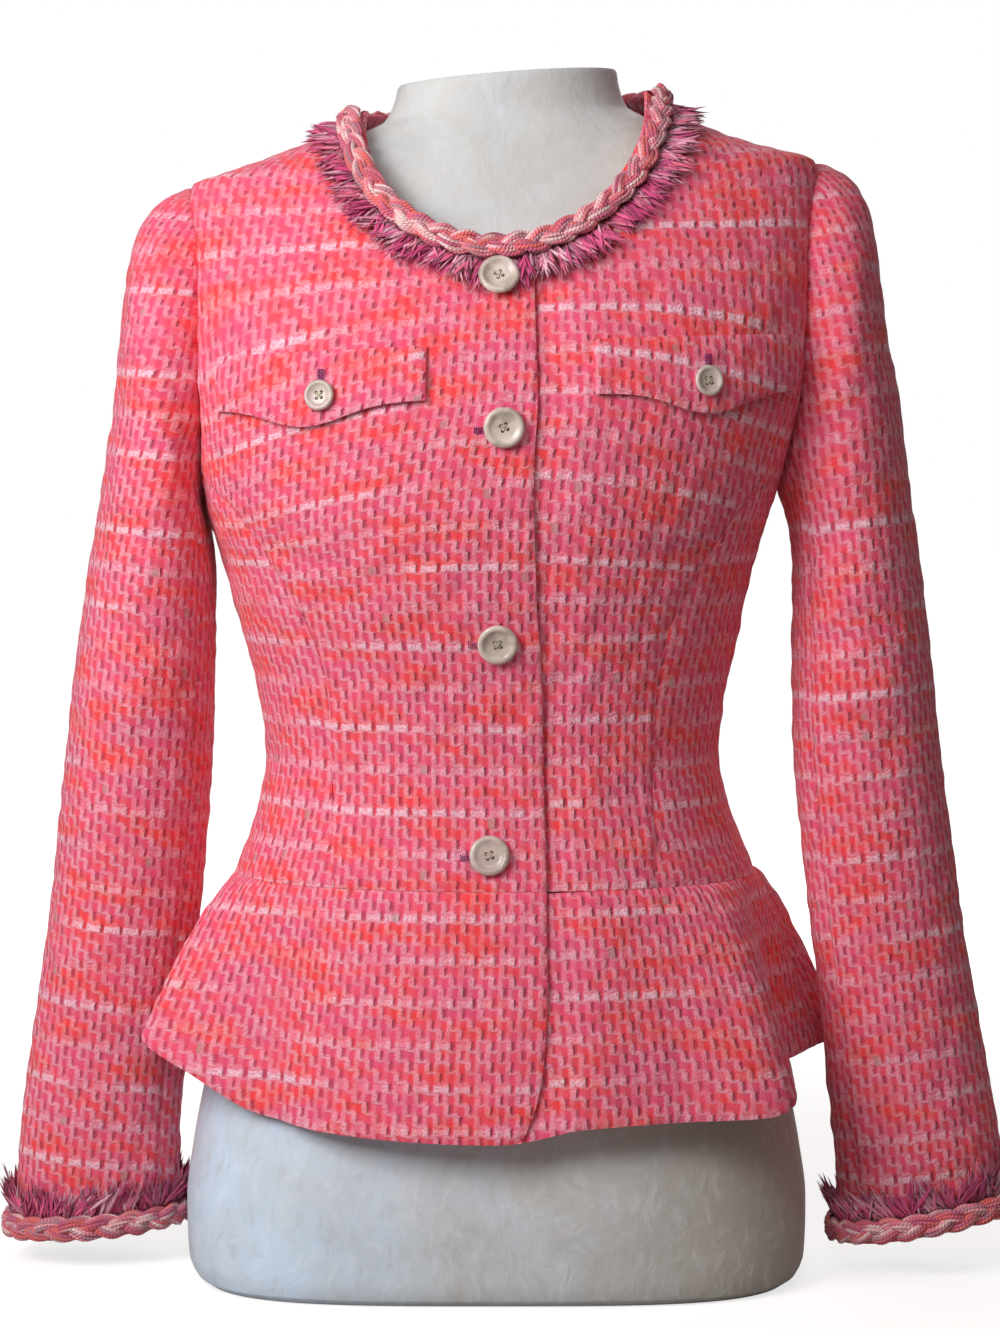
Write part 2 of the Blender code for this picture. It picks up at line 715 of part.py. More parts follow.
def centre_back(side):
    """Back panel from the princess seam and the armhole to the centre back seam."""
    left = np.concatenate([PRINCESS_BACK_LINE, armhole_rows(ARMHOLE, BACK_NOTCH, BACK_FINE)[1:]])
    neck = neckline(90.0, 180.0, NECK_BACK_COUNT)
    top = np.concatenate([SHOULDER_LINE[::-1], neck[1:]])
    heights = WAIST_Z + (left[:, 2] - WAIST_Z) * (NECK_BACK_Z - WAIST_Z) / (TIP_Z - WAIST_Z)
    right = np.stack([0 * heights, back_at(heights), heights], -1)
    right[-1] = top[-1]
    bottom = waist_arc(left[0], right[0], len(top))
    outer = fitted(bottom, top, left, right)
    depth = -torso_normal(outer) * WALL
    depth[0, :, 2] = 0
    depth[:, -1, 0] = 0
    depth[len(PRINCESS_BACK_LINE) - 1 :, 0] = armhole_rows(armhole_mitre(side), BACK_NOTCH, BACK_FINE)
    seams = {"left": WHOLE, "right": WHOLE, "bottom": WHOLE, "top": slice(0, SHOULDER_COUNT + 1)}
    add_wall(f"centre_back_{SIDE_NAMES[side]}", outer, depth, side, seams)


def waist_arc(start, end, count):
    """Points of the waist seam between two of its points, in equal steps."""
    angles = np.linspace(0, 180, 721)
    line = torso_ring(angles, np.full(len(angles), WAIST_Z))
    first = int(np.argmin(np.linalg.norm(line - start, axis=1)))
    last = int(np.argmin(np.linalg.norm(line - end, axis=1)))
    arc = resample(line[first : last + 1], count - 1)
    arc[0], arc[-1] = start, end
    return arc


def sleeve(side):
    stations = np.array([row[0] for row in SLEEVE], float)
    mitre = armhole_mitre(side)
    pieces = {
        "top_sleeve": np.arange(TOP_SEAMS[1] - ARMHOLE_POINTS, TOP_SEAMS[0] + 1),
        "under_sleeve": np.arange(TOP_SEAMS[0], TOP_SEAMS[1] + 1),
    }
    for name, index in pieces.items():
        turns = (index * 360 / ARMHOLE_POINTS)[None, :]
        turn_grid, station_grid = np.broadcast_arrays(turns, stations[::-1][:, None])
        outer = hung_sleeve(turn_grid, station_grid, side)
        depth = -sleeve_normal(turn_grid, np.maximum(station_grid, 0.05), side) * WALL
        depth[-1] = mitre[index % ARMHOLE_POINTS]
        depth[0, :, 2] = 0
        outer, depth = outer[:, ::-1], depth[:, ::-1]
        seams = {"left": WHOLE, "right": WHOLE, "top": WHOLE}
        add_wall(f"{name}_{SIDE_NAMES[side]}", outer, depth, side, seams)


def fold_out(angle):
    """How far the peplum's folds push its hem out at this angle."""
    out = np.zeros_like(angle)
    for middle, reach, spread in FOLDS:
        away = (angle - middle + 180) % 360 - 180
        out = out + reach * np.exp(-((away / spread) ** 2))
    return out


def peplum_point(angle, down):
    """A point of the peplum's outer face; down is 0 at the waist seam and 1 at the hem."""
    angle, down = np.broadcast_arrays(np.asarray(angle, float), np.asarray(down, float))
    seam = torso_ring(angle, np.full(angle.shape, WAIST_Z))
    height = WAIST_Z + (hem_height_at(angle) - WAIST_Z) * down
    hem = ring(angle, HEM_HALF_WIDTH, HEM_FRONT, HEM_BACK, 2.2, height)
    points = seam + (hem - seam) * (np.maximum(down, 0) ** FLARE_POWER)[..., None]
    points[..., 2] = height
    turn = np.radians(angle)
    reach = fold_out(angle) * np.maximum(down, 0) ** FOLD_POWER
    points[..., 0] += np.sin(turn) * reach
    points[..., 1] -= np.cos(turn) * reach
    return points


def peplum_normal(angle, down):
    step = 0.002
    around = peplum_point(angle + 40 * step, down) - peplum_point(angle - 40 * step, down)
    low = np.maximum(down - step, 0.0)
    along = peplum_point(angle, down + step) - peplum_point(angle, low)
    return unit(np.cross(along, around))


def edge_angle(height, edge, down):
    """The peplum angle at which its outer face reaches this far across."""
    angles = np.linspace(-20, 20, 401)
    return np.array(
        [np.interp(x, peplum_point(angles, d)[:, 0], angles) for x, d in zip(edge, down)]
    )


def peplum_pieces():
    downs = np.linspace(1, 0, PEPLUM_ROWS + 1)
    heights = WAIST_Z + (hem_height_at(np.full(len(downs), 5.0)) - WAIST_Z) * downs
    lap = edge_angle(heights, lap_edge_at(heights), downs)
    under = edge_angle(heights, np.full(len(downs), -UNDERLAP), downs)
    side_line = np.full(len(downs), 90.0)
    spans = (
        ("peplum_front_right", -side_line, lap, 24, -1, {"left": WHOLE, "top": WHOLE}),
        ("peplum_front_left", under, side_line, 24, 1, {"right": WHOLE, "top": WHOLE}),
        ("peplum_back", side_line, 360 - side_line, 36, -1, {"left": WHOLE, "right": WHOLE, "top": WHOLE}),
    )
    for name, first, last, columns, side, seams in spans:
        outer, depth = peplum_grid(first, last, columns, side)
        outer, depth = set_back(outer, depth, seams)
        mesh = wall_mesh(name, settle(outer), settle(outer + depth), flip=False)
        add_object(name, mesh, TWEED)


def peplum_grid(first, last, columns, side):
    downs = np.linspace(1, 0, PEPLUM_ROWS + 1)
    share = np.linspace(0, 1, columns + 1)[None, :]
    angles = first[:, None] * (1 - share) + last[:, None] * share
    wrapped = (angles + 180) % 360 - 180
    down_grid = np.broadcast_to(downs[:, None], angles.shape)
    outer = peplum_point(wrapped, down_grid)
    normal = peplum_normal(wrapped, np.maximum(down_grid, 0.02))
    depth = -normal * WALL
    depth[-1, :, 2] = 0
    depth[0, :, 2] = 0
    if side > 0:
        outer = outer - normal * lap_depth(outer, side)[..., None]
    return outer, depth


def flap(side):
    """Pocket flap lying on the front panel, a little lifted at its pointed lower edge."""
    rows, columns = FLAP_GRID
    across = np.linspace(0, 1, columns)
    point = np.exp(-(((across - FLAP_POINT_AT) / FLAP_POINT_SPREAD) ** 2))
    low = FLAP_CORNER_Z - FLAP_POINT_DROP * point
    up = np.linspace(0, 1, rows)[:, None]
    inner, outer, _ = POCKETS[side]
    x = np.broadcast_to(inner + (outer - inner) * across, FLAP_GRID)
    z = low + (FLAP_TOP_Z - low) * up
    base = front_point(x, z)
    normal = torso_normal(base)
    lift = LAP_GAP + FLAP_LIFT * (1 - up)
    under = base + normal * lift[..., None]
    add_wall(f"pocket_flap_{SIDE_NAMES[side]}", under + normal * FLAP_WALL, -normal * FLAP_WALL, side, {})


def revolved(name, outline, sides):
    """A closed turned piece from its outline, which runs down its outer side."""
    data = bpy.data.meshes.new(name)
    data.from_pydata([(r, 0, z) for r, z in outline], [(i, i + 1) for i in range(len(outline) - 1)], [])
    piece = bpy.data.objects.new(name, data)
    JACKET.objects.link(piece)
    screw = piece.modifiers.new("turn", "SCREW")
    screw.steps = screw.render_steps = sides
    screw.use_merge_vertices = True
    screw.merge_threshold = 0.0001
    return piece


def button_mesh(name, diameter, thickness, sides):
    """A four-hole button with a raised rim, its back face at height 0."""
    radius = diameter / 2
    outline = (
        (0, thickness * 0.58),
        (radius * 0.62, thickness * 0.58),
        (radius * 0.74, thickness),
        (radius * 0.92, thickness * 0.96),
        (radius, thickness * 0.55),
        (radius * 0.82, 0),
        (0, 0),
    )
    blank = revolved(name + "_blank", outline, sides)
    cutter_mesh = bmesh.new()
    for turn in range(4):
        angle = math.radians(45 + 90 * turn)
        across, up = HOLE_OFFSET * math.cos(angle), HOLE_OFFSET * math.sin(angle)
        place = Matrix.Translation((across, up, thickness / 2))
        bmesh.ops.create_cone(
            cutter_mesh,
            cap_ends=True,
            segments=4,
            radius1=HOLE_RADIUS,
            radius2=HOLE_RADIUS,
            depth=thickness * 3,
            matrix=place,
        )
    cutter_data = bpy.data.meshes.new(name + "_holes")
    cutter_mesh.to_mesh(cutter_data)
    cutter_mesh.free()
    cutter = bpy.data.objects.new(name + "_holes", cutter_data)
    CUTTERS.objects.link(cutter)
    cutter.hide_render = True
    cutter.display_type = "WIRE"
    cut = blank.modifiers.new("holes", "BOOLEAN")
    cut.operation = "DIFFERENCE"
    cut.solver = "EXACT"
    cut.object = cutter
    bpy.context.view_layer.update()
    graph = bpy.context.evaluated_depsgraph_get()
    data = bpy.data.meshes.new_from_object(blank.evaluated_get(graph))
    data.name = name
    data.shade_smooth()
    data.set_sharp_from_angle(angle=math.radians(35))
    for helper in (blank, cutter):
        bpy.data.objects.remove(helper)
    return data


def place_button(name, data, tree, x, z, side):
    """Sets a button's back face over the cloth, square to it, clear of its highest point there."""
    point = front_point(np.array(x), np.array(z))
    spot, out = settled_ways(mirrored(point, side), mirrored(torso_normal(point), side))
    out = Vector(out)
    turned = out.to_track_quat("Z", "Y")
    radius = max(vertex.co.xy.length for vertex in data.vertices)
    disc = [Vector((0, 0, 0))]
    for share in (0.5, 0.85, 1.0):
        for turn in np.radians(np.arange(0, 360, 20)):
            disc.append(Vector((math.cos(turn), math.sin(turn), 0)) * radius * share)
    places = np.array([Vector(spot) + turned @ place for place in disc])
    rise = heights_over(tree, places, np.tile(np.array(out), (len(places), 1))).max()
    piece = add_object(name, data, BUTTON_RESIN)
    piece.location = Vector(spot) + out * (rise + LAY_GAP)
    piece.rotation_mode = "QUATERNION"
    piece.rotation_quaternion = turned


def buttons():
    front = button_mesh("front_button", BUTTON_DIAMETER, BUTTON_THICKNESS, BUTTON_SIDES)
    fronts = ("centre_front_right", "peplum_front_right", "neck_fringe")
    for number, (across, height) in enumerate(BUTTONS, start=1):
        place_button(f"front_button_{number}", front.copy(), cloth_tree(*fronts), across, height, LEFT)
    pocket = button_mesh("pocket_button", POCKET_BUTTON_DIAMETER, POCKET_BUTTON_THICKNESS, BUTTON_SIDES)
    for side in (RIGHT, LEFT):
        tree = cloth_tree(f"pocket_flap_{SIDE_NAMES[side]}", f"centre_front_{SIDE_NAMES[side]}")
        name = f"pocket_button_{SIDE_NAMES[side]}"
        place_button(name, pocket.copy(), tree, POCKETS[side][2], POCKET_BUTTON_Z, side)


def settled_ways(points, outward):
    """Settled points and the ways that lead off the cloth there."""
    placed = settle(points)
    return placed, unit(settle(points + outward * 0.001) - placed)


def cloth_tree(*names):
    """The faces of pieces already made, so that a trim follows their real surface."""
    corners, faces = [], []
    for name in names:
        data = bpy.data.objects[name].data
        first = len(corners)
        corners += [vertex.co[:] for vertex in data.vertices]
        faces += [[first + index for index in face.vertices] for face in data.polygons]
    return BVHTree.FromPolygons(corners, faces)


def heights_over(tree, points, outward):
    """How far the cloth rises over these points, along their outward ways."""
    found = np.zeros(points.shape[:-1])
    for index in np.ndindex(found.shape):
        start = Vector(points[index] + outward[index] * PROBE)
        hit = tree.ray_cast(start, Vector(-outward[index]), 2 * PROBE)
        if hit[3] is not None:
            found[index] = PROBE - hit[3]
    return found


def laid(tree, points, outward):
    """The points moved to just over the cloth."""
    return points + outward * (heights_over(tree, points, outward) + LAY_GAP)[..., None]


def ribbon(tree, points, outward, closed):
    """Every second row of the points, held over the highest cloth between its neighbours and edges."""
    share = np.linspace(0, 1, points.shape[1])[None, :, None]
    chord = points[:, :1] * (1 - share) + points[:, -1:] * share
    bulge = ((points - chord) * outward).sum(-1)
    high = (heights_over(tree, points, outward) + np.maximum(bulge, 0)).max(axis=1)
    reach = np.concatenate([high[-2:], high, high[:2]]) if closed else np.pad(high, 2, mode="edge")
    high = np.max([reach[shift : shift + len(high)] for shift in range(5)], axis=0)
    return (points + outward * (high + LAY_GAP)[:, None, None])[::2], outward[::2]


def neck_path(count):
    """The neck edge from beside the lapped front edge round the back to that edge, in equal steps."""
    half = neckline(0.0, 180.0, 400)
    whole = np.concatenate([half, half[-2::-1] * np.array([-1.0, 1.0, 1.0])])
    length = np.concatenate([[0], np.cumsum(np.linalg.norm(np.diff(whole, axis=0), axis=1))])
    lap = float(lap_edge_at(NECK_FRONT_Z))
    first, last = np.interp([lap + NECK_TRIM_GAP, lap - NECK_TRIM_GAP], half[:, 0], length[: len(half)])
    at = np.linspace(first, length[-1] + last, count + 1) % length[-1]
    return np.stack([np.interp(at, length, whole[:, axis]) for axis in range(3)], -1)


def neck_cloth(path, distance):
    """Points of the bodice at these distances down from the neck edge, a row for each path point."""
    along = unit(np.gradient(path, axis=0))
    away = unit(np.cross(along, torso_normal(path)))
    point = np.repeat(path[:, None], distance.shape[1], axis=1)
    steps = 6
    for _ in range(steps):
        point = onto_torso(point + away[:, None] * (distance / steps)[..., None])
    return point, torso_normal(point)


def cuff_cloth(side, turn, distance):
    """Points of the sleeve at these distances up from its cuff edge."""
    last, before = SLEEVE[-1], SLEEVE[-2]
    station = last[0] - distance / (before[2] - last[2])
    return hung_sleeve(turn, station, side), sleeve_normal(turn, station, side)


def plait(steps, share):
    """Lane distances and heights of a plait whose two edges swell in turn, one swelling a step."""
    lanes = np.array([row[0] for row in PLAIT])
    height = np.array([row[1] for row in PLAIT])
    even = (np.arange(steps) % 2 == 0)[:, None]
    swell = np.where(even, lanes < 0.4, lanes > 0.6)
    spread = BRAID_EDGE + (0.5 + (lanes - 0.5) * (1 + share * swell)) * BRAID_WIDTH
    return spread, BRAID_THICKNESS * height * (1 - share + share * swell)


def loft(name, sections, closed, flip):
    """A closed body through sections of the same number of points, joined round or capped at its ends."""
    mesh = bmesh.new()
    rings = [[mesh.verts.new(p) for p in points] for points in sections]
    spans = list(zip(rings, rings[1:]))
    faces = []
    if closed:
        spans.append((rings[-1], rings[0]))
    else:
        faces += [rings[0][::-1], rings[-1]]
    for low, high in spans:
        for j in range(len(low)):
            k = (j + 1) % len(low)
            faces.append((low[j], low[k], high[k], high[j]))
    for corners in faces:
        mesh.faces.new(corners[::-1] if flip else corners)
    data = bpy.data.meshes.new(name)
    mesh.to_mesh(data)
    mesh.free()
    data.shade_smooth()
    data.set_sharp_from_angle(angle=math.radians(60))
    return data


def braid_sections(floor, outward, lift):
    """Sections of a braid with a flat back, whose face rises over it in lanes."""
    face = floor + outward * lift[..., None]
    return np.concatenate([floor[:, :1], face, floor[:, -1:]], axis=1)


def neck_braid(tree):
    count = NECK_PLAITS * 2
    spread, lift = plait(count + 1, PLAIT_SWELL)
    between = np.repeat(spread, 2, axis=0)[:-1]
    points, outward = neck_cloth(neck_path(count * 2), between)
    floor, outward = ribbon(tree, *settled_ways(points, outward), closed=False)
    sections = braid_sections(floor, outward, lift)
    add_object("neck_braid", loft("neck_braid", sections, closed=False, flip=False), TRIM)


def cuff_braid(side, tree):
    count = CUFF_PLAITS * 2
    turn = np.arange(count * 2) * 180 / count
    spread, lift = plait(count, PLAIT_SWELL)
    between = np.repeat(spread, 2, axis=0)
    points, outward = cuff_cloth(side, np.broadcast_to(turn[:, None], between.shape), between)
    points, outward = settled_ways(mirrored(points, side), mirrored(outward, side))
    floor, outward = ribbon(tree, points, outward, closed=True)
    sections = braid_sections(floor, outward, lift)
    name = f"cuff_braid_{SIDE_NAMES[side]}"
    add_object(name, loft(name, sections, closed=True, flip=side < 0), TRIM)


def fringe_mesh(name, near, far, outward, closed, flip, bare=()):
    """A wedge-shaped strip whose far face carries a tapered lock at every other step but the bare ones."""
    count = len(near)
    mesh = bmesh.new()
    top = far + outward * FRINGE_STRIP_HEIGHT
    away = unit(far - near)
    rings = [[mesh.verts.new(p) for p in points] for points in zip(near, far, top)]
    chance = np.random.default_rng(FRINGE_SEED)

    def face(*corners):
        mesh.faces.new(corners[::-1] if flip else corners)

    for i in range(count if closed else count - 1):
        k = (i + 1) % count
        a, b = rings[i], rings[k]
        face(a[0], b[0], b[1], a[1])
        face(a[2], b[2], b[0], a[0])
        if i % 2 or i in bare:
            face(a[1], b[1], b[2], a[2])
            continue
        root = (far[i] + far[k] + top[i] + top[k]) / 4
        length = FRINGE_LENGTH * chance.uniform(0.8, 1.1)
        sway = (far[k] - far[i]) * chance.uniform(-0.6, 0.6)
        rise = length * chance.uniform(0.25, 0.55)
        knee = root + away[i] * length * 0.55 + outward[i] * rise * 0.7 + sway * 0.5
        tip = root + away[i] * length + outward[i] * rise + sway
        roots = [a[1], b[1], b[2], a[2]]
        knees = [mesh.verts.new(knee + (np.array(v.co) - root) * 0.75) for v in roots]
        end = mesh.verts.new(tip)
        for j in range(4):
            m = (j + 1) % 4
            face(roots[j], roots[m], knees[m], knees[j])
            face(knees[j], knees[m], end)
    if not closed:
        face(*rings[0])
        face(*rings[-1][::-1])
    data = bpy.data.meshes.new(name)
    mesh.to_mesh(data)
    mesh.free()
    data.shade_smooth()
    data.set_sharp_from_angle(angle=math.radians(60))
    return data


def fringe_reach(count):
    start = BRAID_EDGE + BRAID_WIDTH * (1 + PLAIT_SWELL / 2) + 0.0012
    return np.tile([start, start + FRINGE_STRIP], (count, 1))


def neck_fringe(tree):
    count = 2 * NECK_LOCKS
    path = neck_path(2 * count - 2)
    points, outward = neck_cloth(path, fringe_reach(2 * count - 1))
    floor, outward = ribbon(tree, *settled_ways(points, outward), closed=False)
    covered = np.abs(path[::2, 0] - BUTTONS[0][0]) < BUTTON_DIAMETER / 2 + 0.004
    bare = np.flatnonzero(covered & (path[::2, 1] < 0))
    mesh = fringe_mesh("neck_fringe", floor[:, 0], floor[:, 1], outward[:, 1], False, False, set(bare))
    add_object("neck_fringe", mesh, FRINGE_YARN)


def cuff_fringe(side, tree):
    count = 2 * CUFF_LOCKS
    turn = np.repeat((np.arange(2 * count) * 180 / count)[:, None], 2, axis=1)
    points, outward = cuff_cloth(side, turn, fringe_reach(2 * count))
    points, outward = settled_ways(mirrored(points, side), mirrored(outward, side))
    floor, outward = ribbon(tree, points, outward, closed=True)
    name = f"cuff_fringe_{SIDE_NAMES[side]}"
    mesh = fringe_mesh(name, floor[:, 0], floor[:, 1], outward[:, 1], True, side < 0)
    add_object(name, mesh, FRINGE_YARN)


def dress_form():
    """The limbless form: hips, the bodice's sections moved in, then the neck, capped flat at both ends."""
    angles = np.arange(FORM_SIDES) * 360 / FORM_SIDES
    rings = [ring(angles, w, f, b, n, z) for z, w, f, b, n in FORM_LOW]
    for level in FORM_LEVELS + FORM_SHOULDER_LEVELS:
        outer = torso_ring(angles, np.full(FORM_SIDES, level))
        inset = WALL + clearance_at(level) + lap_room(outer)
        rings.append(outer - torso_normal(outer) * inset[:, None])
    rings += [ring(angles, w, f, b, n, z) for z, w, f, b, n in FORM_NECK]
    mesh = bmesh.new()
    loops = [[mesh.verts.new(p) for p in settle(points)] for points in rings]
    for low, high in zip(loops, loops[1:]):
        for i in range(FORM_SIDES):
            k = (i + 1) % FORM_SIDES
            mesh.faces.new((low[i], low[k], high[k], high[i]))
    mesh.faces.new(loops[0][::-1])
    mesh.faces.new(loops[-1])
    data = bpy.data.meshes.new("dress_form")
    mesh.to_mesh(data)
    mesh.free()
    data.shade_smooth()
    data.set_sharp_from_angle(angle=math.radians(60))
    add_object("dress_form", data, VELVET)


def lap_room(points):
    """Extra room under the doubled front."""
    near_middle = 1 - smooth(np.abs(points[..., 0]), 0.055, 0.085)
    return np.where(points[..., 1] < 0, (WALL + LAP_GAP) * near_middle, 0.0)


def build():
    dress_form()
    for side in (RIGHT, LEFT):
        centre_front(side)
        side_front(side)
        side_back(side)
        centre_back(side)
        sleeve(side)
        flap(side)
        arm = cloth_tree(f"top_sleeve_{SIDE_NAMES[side]}", f"under_sleeve_{SIDE_NAMES[side]}")
        cuff_braid(side, arm)
        cuff_fringe(side, arm)
    peplum_pieces()
    neck = cloth_tree("centre_front_right", "centre_front_left", "centre_back_right", "centre_back_left")
    neck_braid(neck)
    neck_fringe(neck)
    buttons()


for leftover in list(bpy.data.objects):
    bpy.data.objects.remove(leftover, do_unlink=True)
JACKET = bpy.data.collections.new("peplum_jacket")
CUTTERS = bpy.data.collections.new("cutters")
for group in (JACKET, CUTTERS):
    bpy.context.scene.collection.children.link(group)
build()
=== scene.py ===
"""Looks of a peplum jacket of boucle tweed on a dress form of crushed velvet.

Metres, +Z up, -Y is the front and +X the wearer's left. The jacket's pieces are drawn on an upright pattern
and then settled onto the form, which leans a little.
"""

import logging
import math
from collections.abc import Callable
from dataclasses import dataclass, field, replace
from enum import Enum

import bmesh
import bpy
import numpy as np
from mathutils import Matrix, Vector

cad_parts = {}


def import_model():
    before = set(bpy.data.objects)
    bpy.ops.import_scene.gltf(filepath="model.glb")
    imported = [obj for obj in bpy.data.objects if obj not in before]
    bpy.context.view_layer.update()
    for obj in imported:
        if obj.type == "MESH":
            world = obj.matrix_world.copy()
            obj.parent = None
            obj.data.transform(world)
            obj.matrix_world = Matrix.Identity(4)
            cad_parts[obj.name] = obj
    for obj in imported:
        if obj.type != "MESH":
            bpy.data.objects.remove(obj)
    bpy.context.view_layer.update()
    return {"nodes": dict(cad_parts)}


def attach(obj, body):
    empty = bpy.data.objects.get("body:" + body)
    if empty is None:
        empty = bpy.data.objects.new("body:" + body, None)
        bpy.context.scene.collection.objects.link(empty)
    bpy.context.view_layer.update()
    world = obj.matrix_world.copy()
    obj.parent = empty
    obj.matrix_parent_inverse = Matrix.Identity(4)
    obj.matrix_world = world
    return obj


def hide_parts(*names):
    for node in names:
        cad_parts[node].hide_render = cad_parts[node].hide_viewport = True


Array = np.ndarray
norm = np.linalg.norm
LOG = logging.getLogger("jacket")
Node, Socket, Tree = bpy.types.Node, bpy.types.NodeSocket, bpy.types.NodeTree
Piece, Material = bpy.types.Object, bpy.types.Material


class Side(Enum):
    """The wearer's side; its value is the sign of X."""

    RIGHT = -1
    LEFT = 1

    @property
    def word(self) -> str:
        """The side's name at the end of a piece's name."""
        return self.name.lower()


# Reading tables


def column(rows: tuple, place: int = 1) -> Callable[[Array], Array]:
    """Makes a smooth curve of one column over the table's first column, which never overshoots its rows.

    Args:
        rows: The table's rows.
        place: Which column to read, counted from 0.

    Returns:
        A function that reads the column at any place.
    """
    table = np.array(rows, float)
    at, value = table[:, 0], table[:, place]
    step = np.diff(at)
    slope = np.diff(value) / step
    tangent = np.zeros(len(at))
    tangent[0], tangent[-1] = slope[0], slope[-1]
    same_way = slope[:-1] * slope[1:] > 0
    before, after = 2 * step[1:] + step[:-1], step[1:] + 2 * step[:-1]
    with np.errstate(divide="ignore", invalid="ignore"):
        mean = (before + after) / (before / slope[:-1] + after / slope[1:])
    tangent[1:-1] = np.where(same_way, mean, 0.0)

    def read(where: Array) -> Array:
        """Reads the column at these places."""
        where = np.clip(np.asarray(where, float), at[0], at[-1])
        index = np.clip(np.searchsorted(at, where, side="right") - 1, 0, len(at) - 2)
        width = step[index]
        part = (where - at[index]) / width
        return (
            value[index] * (1 + 2 * part) * (1 - part) ** 2
            + tangent[index] * width * part * (1 - part) ** 2
            + value[index + 1] * part**2 * (3 - 2 * part)
            + tangent[index + 1] * width * part**2 * (part - 1)
        )

    return read


def smooth(value: Array, low: float, high: float) -> Array:
    """Rises from 0 at low to 1 at high with no corner."""
    part = np.clip((value - low) / (high - low), 0.0, 1.0)
    return part * part * (3 - 2 * part)


def unit(vectors: Array) -> Array:
    """The vectors at length one."""
    return vectors / np.maximum(norm(vectors, axis=-1, keepdims=True), 1e-12)


def lengths(points: Array) -> Array:
    """How far along a polyline each of its points is."""
    return np.concatenate([[0], np.cumsum(norm(np.diff(points, axis=0), axis=1))])


def resample(points: Array, count: int) -> Array:
    """The same polyline as count equal steps along its length."""
    length = lengths(points)
    at = np.linspace(0, length[-1], count + 1)
    return np.stack([np.interp(at, length, points[:, axis]) for axis in range(3)], -1)


def steps_for(points: Array, pitch: float) -> int:
    """How many steps of about this pitch a polyline takes."""
    return max(2, round(float(norm(np.diff(points, axis=0), axis=1).sum()) / pitch))


def chain(*lines: Array) -> Array:
    """Joins polylines that share their end points."""
    return np.concatenate([lines[0], *[line[1:] for line in lines[1:]]])


def mirrored(points: Array, side: Side) -> Array:
    """Points of the +X side, put on their own side."""
    return points * np.array([side.value, 1.0, 1.0])


# The worn shape


@dataclass(frozen=True)
class Stance:
    """How the jacket and its form stand: the shoulders lean to one side and the whole drifts a little."""

    lean: float = 0.04
    lean_from: float = 0.38
    lean_to: float = 0.54
    neck_lean: float = 0.035
    neck_from: float = 0.665
    neck_to: float = 0.7
    # Height and drift to the wearer's left
    drift: tuple = (
        (0.0, -0.002), (0.238, -0.003), (0.309, -0.0045), (0.37, -0.005), (0.4, -0.0064),
        (0.44, -0.0062), (0.48, -0.0035), (0.52, 0.0005), (0.56, 0.001), (0.65, 0.002),
        (0.71, 0.0045),
    )

    def settle(self, points: Array) -> Array:
        """Moves points of the upright pattern to where the worn jacket stands."""
        placed = np.array(points, float)
        x, z = placed[..., 0].copy(), placed[..., 2].copy()
        lean = self.lean * smooth(z, self.lean_from, self.lean_to)
        lean += self.neck_lean * smooth(z, self.neck_from, self.neck_to)
        placed[..., 2] = z + lean * x
        placed[..., 0] = x + column(self.drift)(z)
        return placed


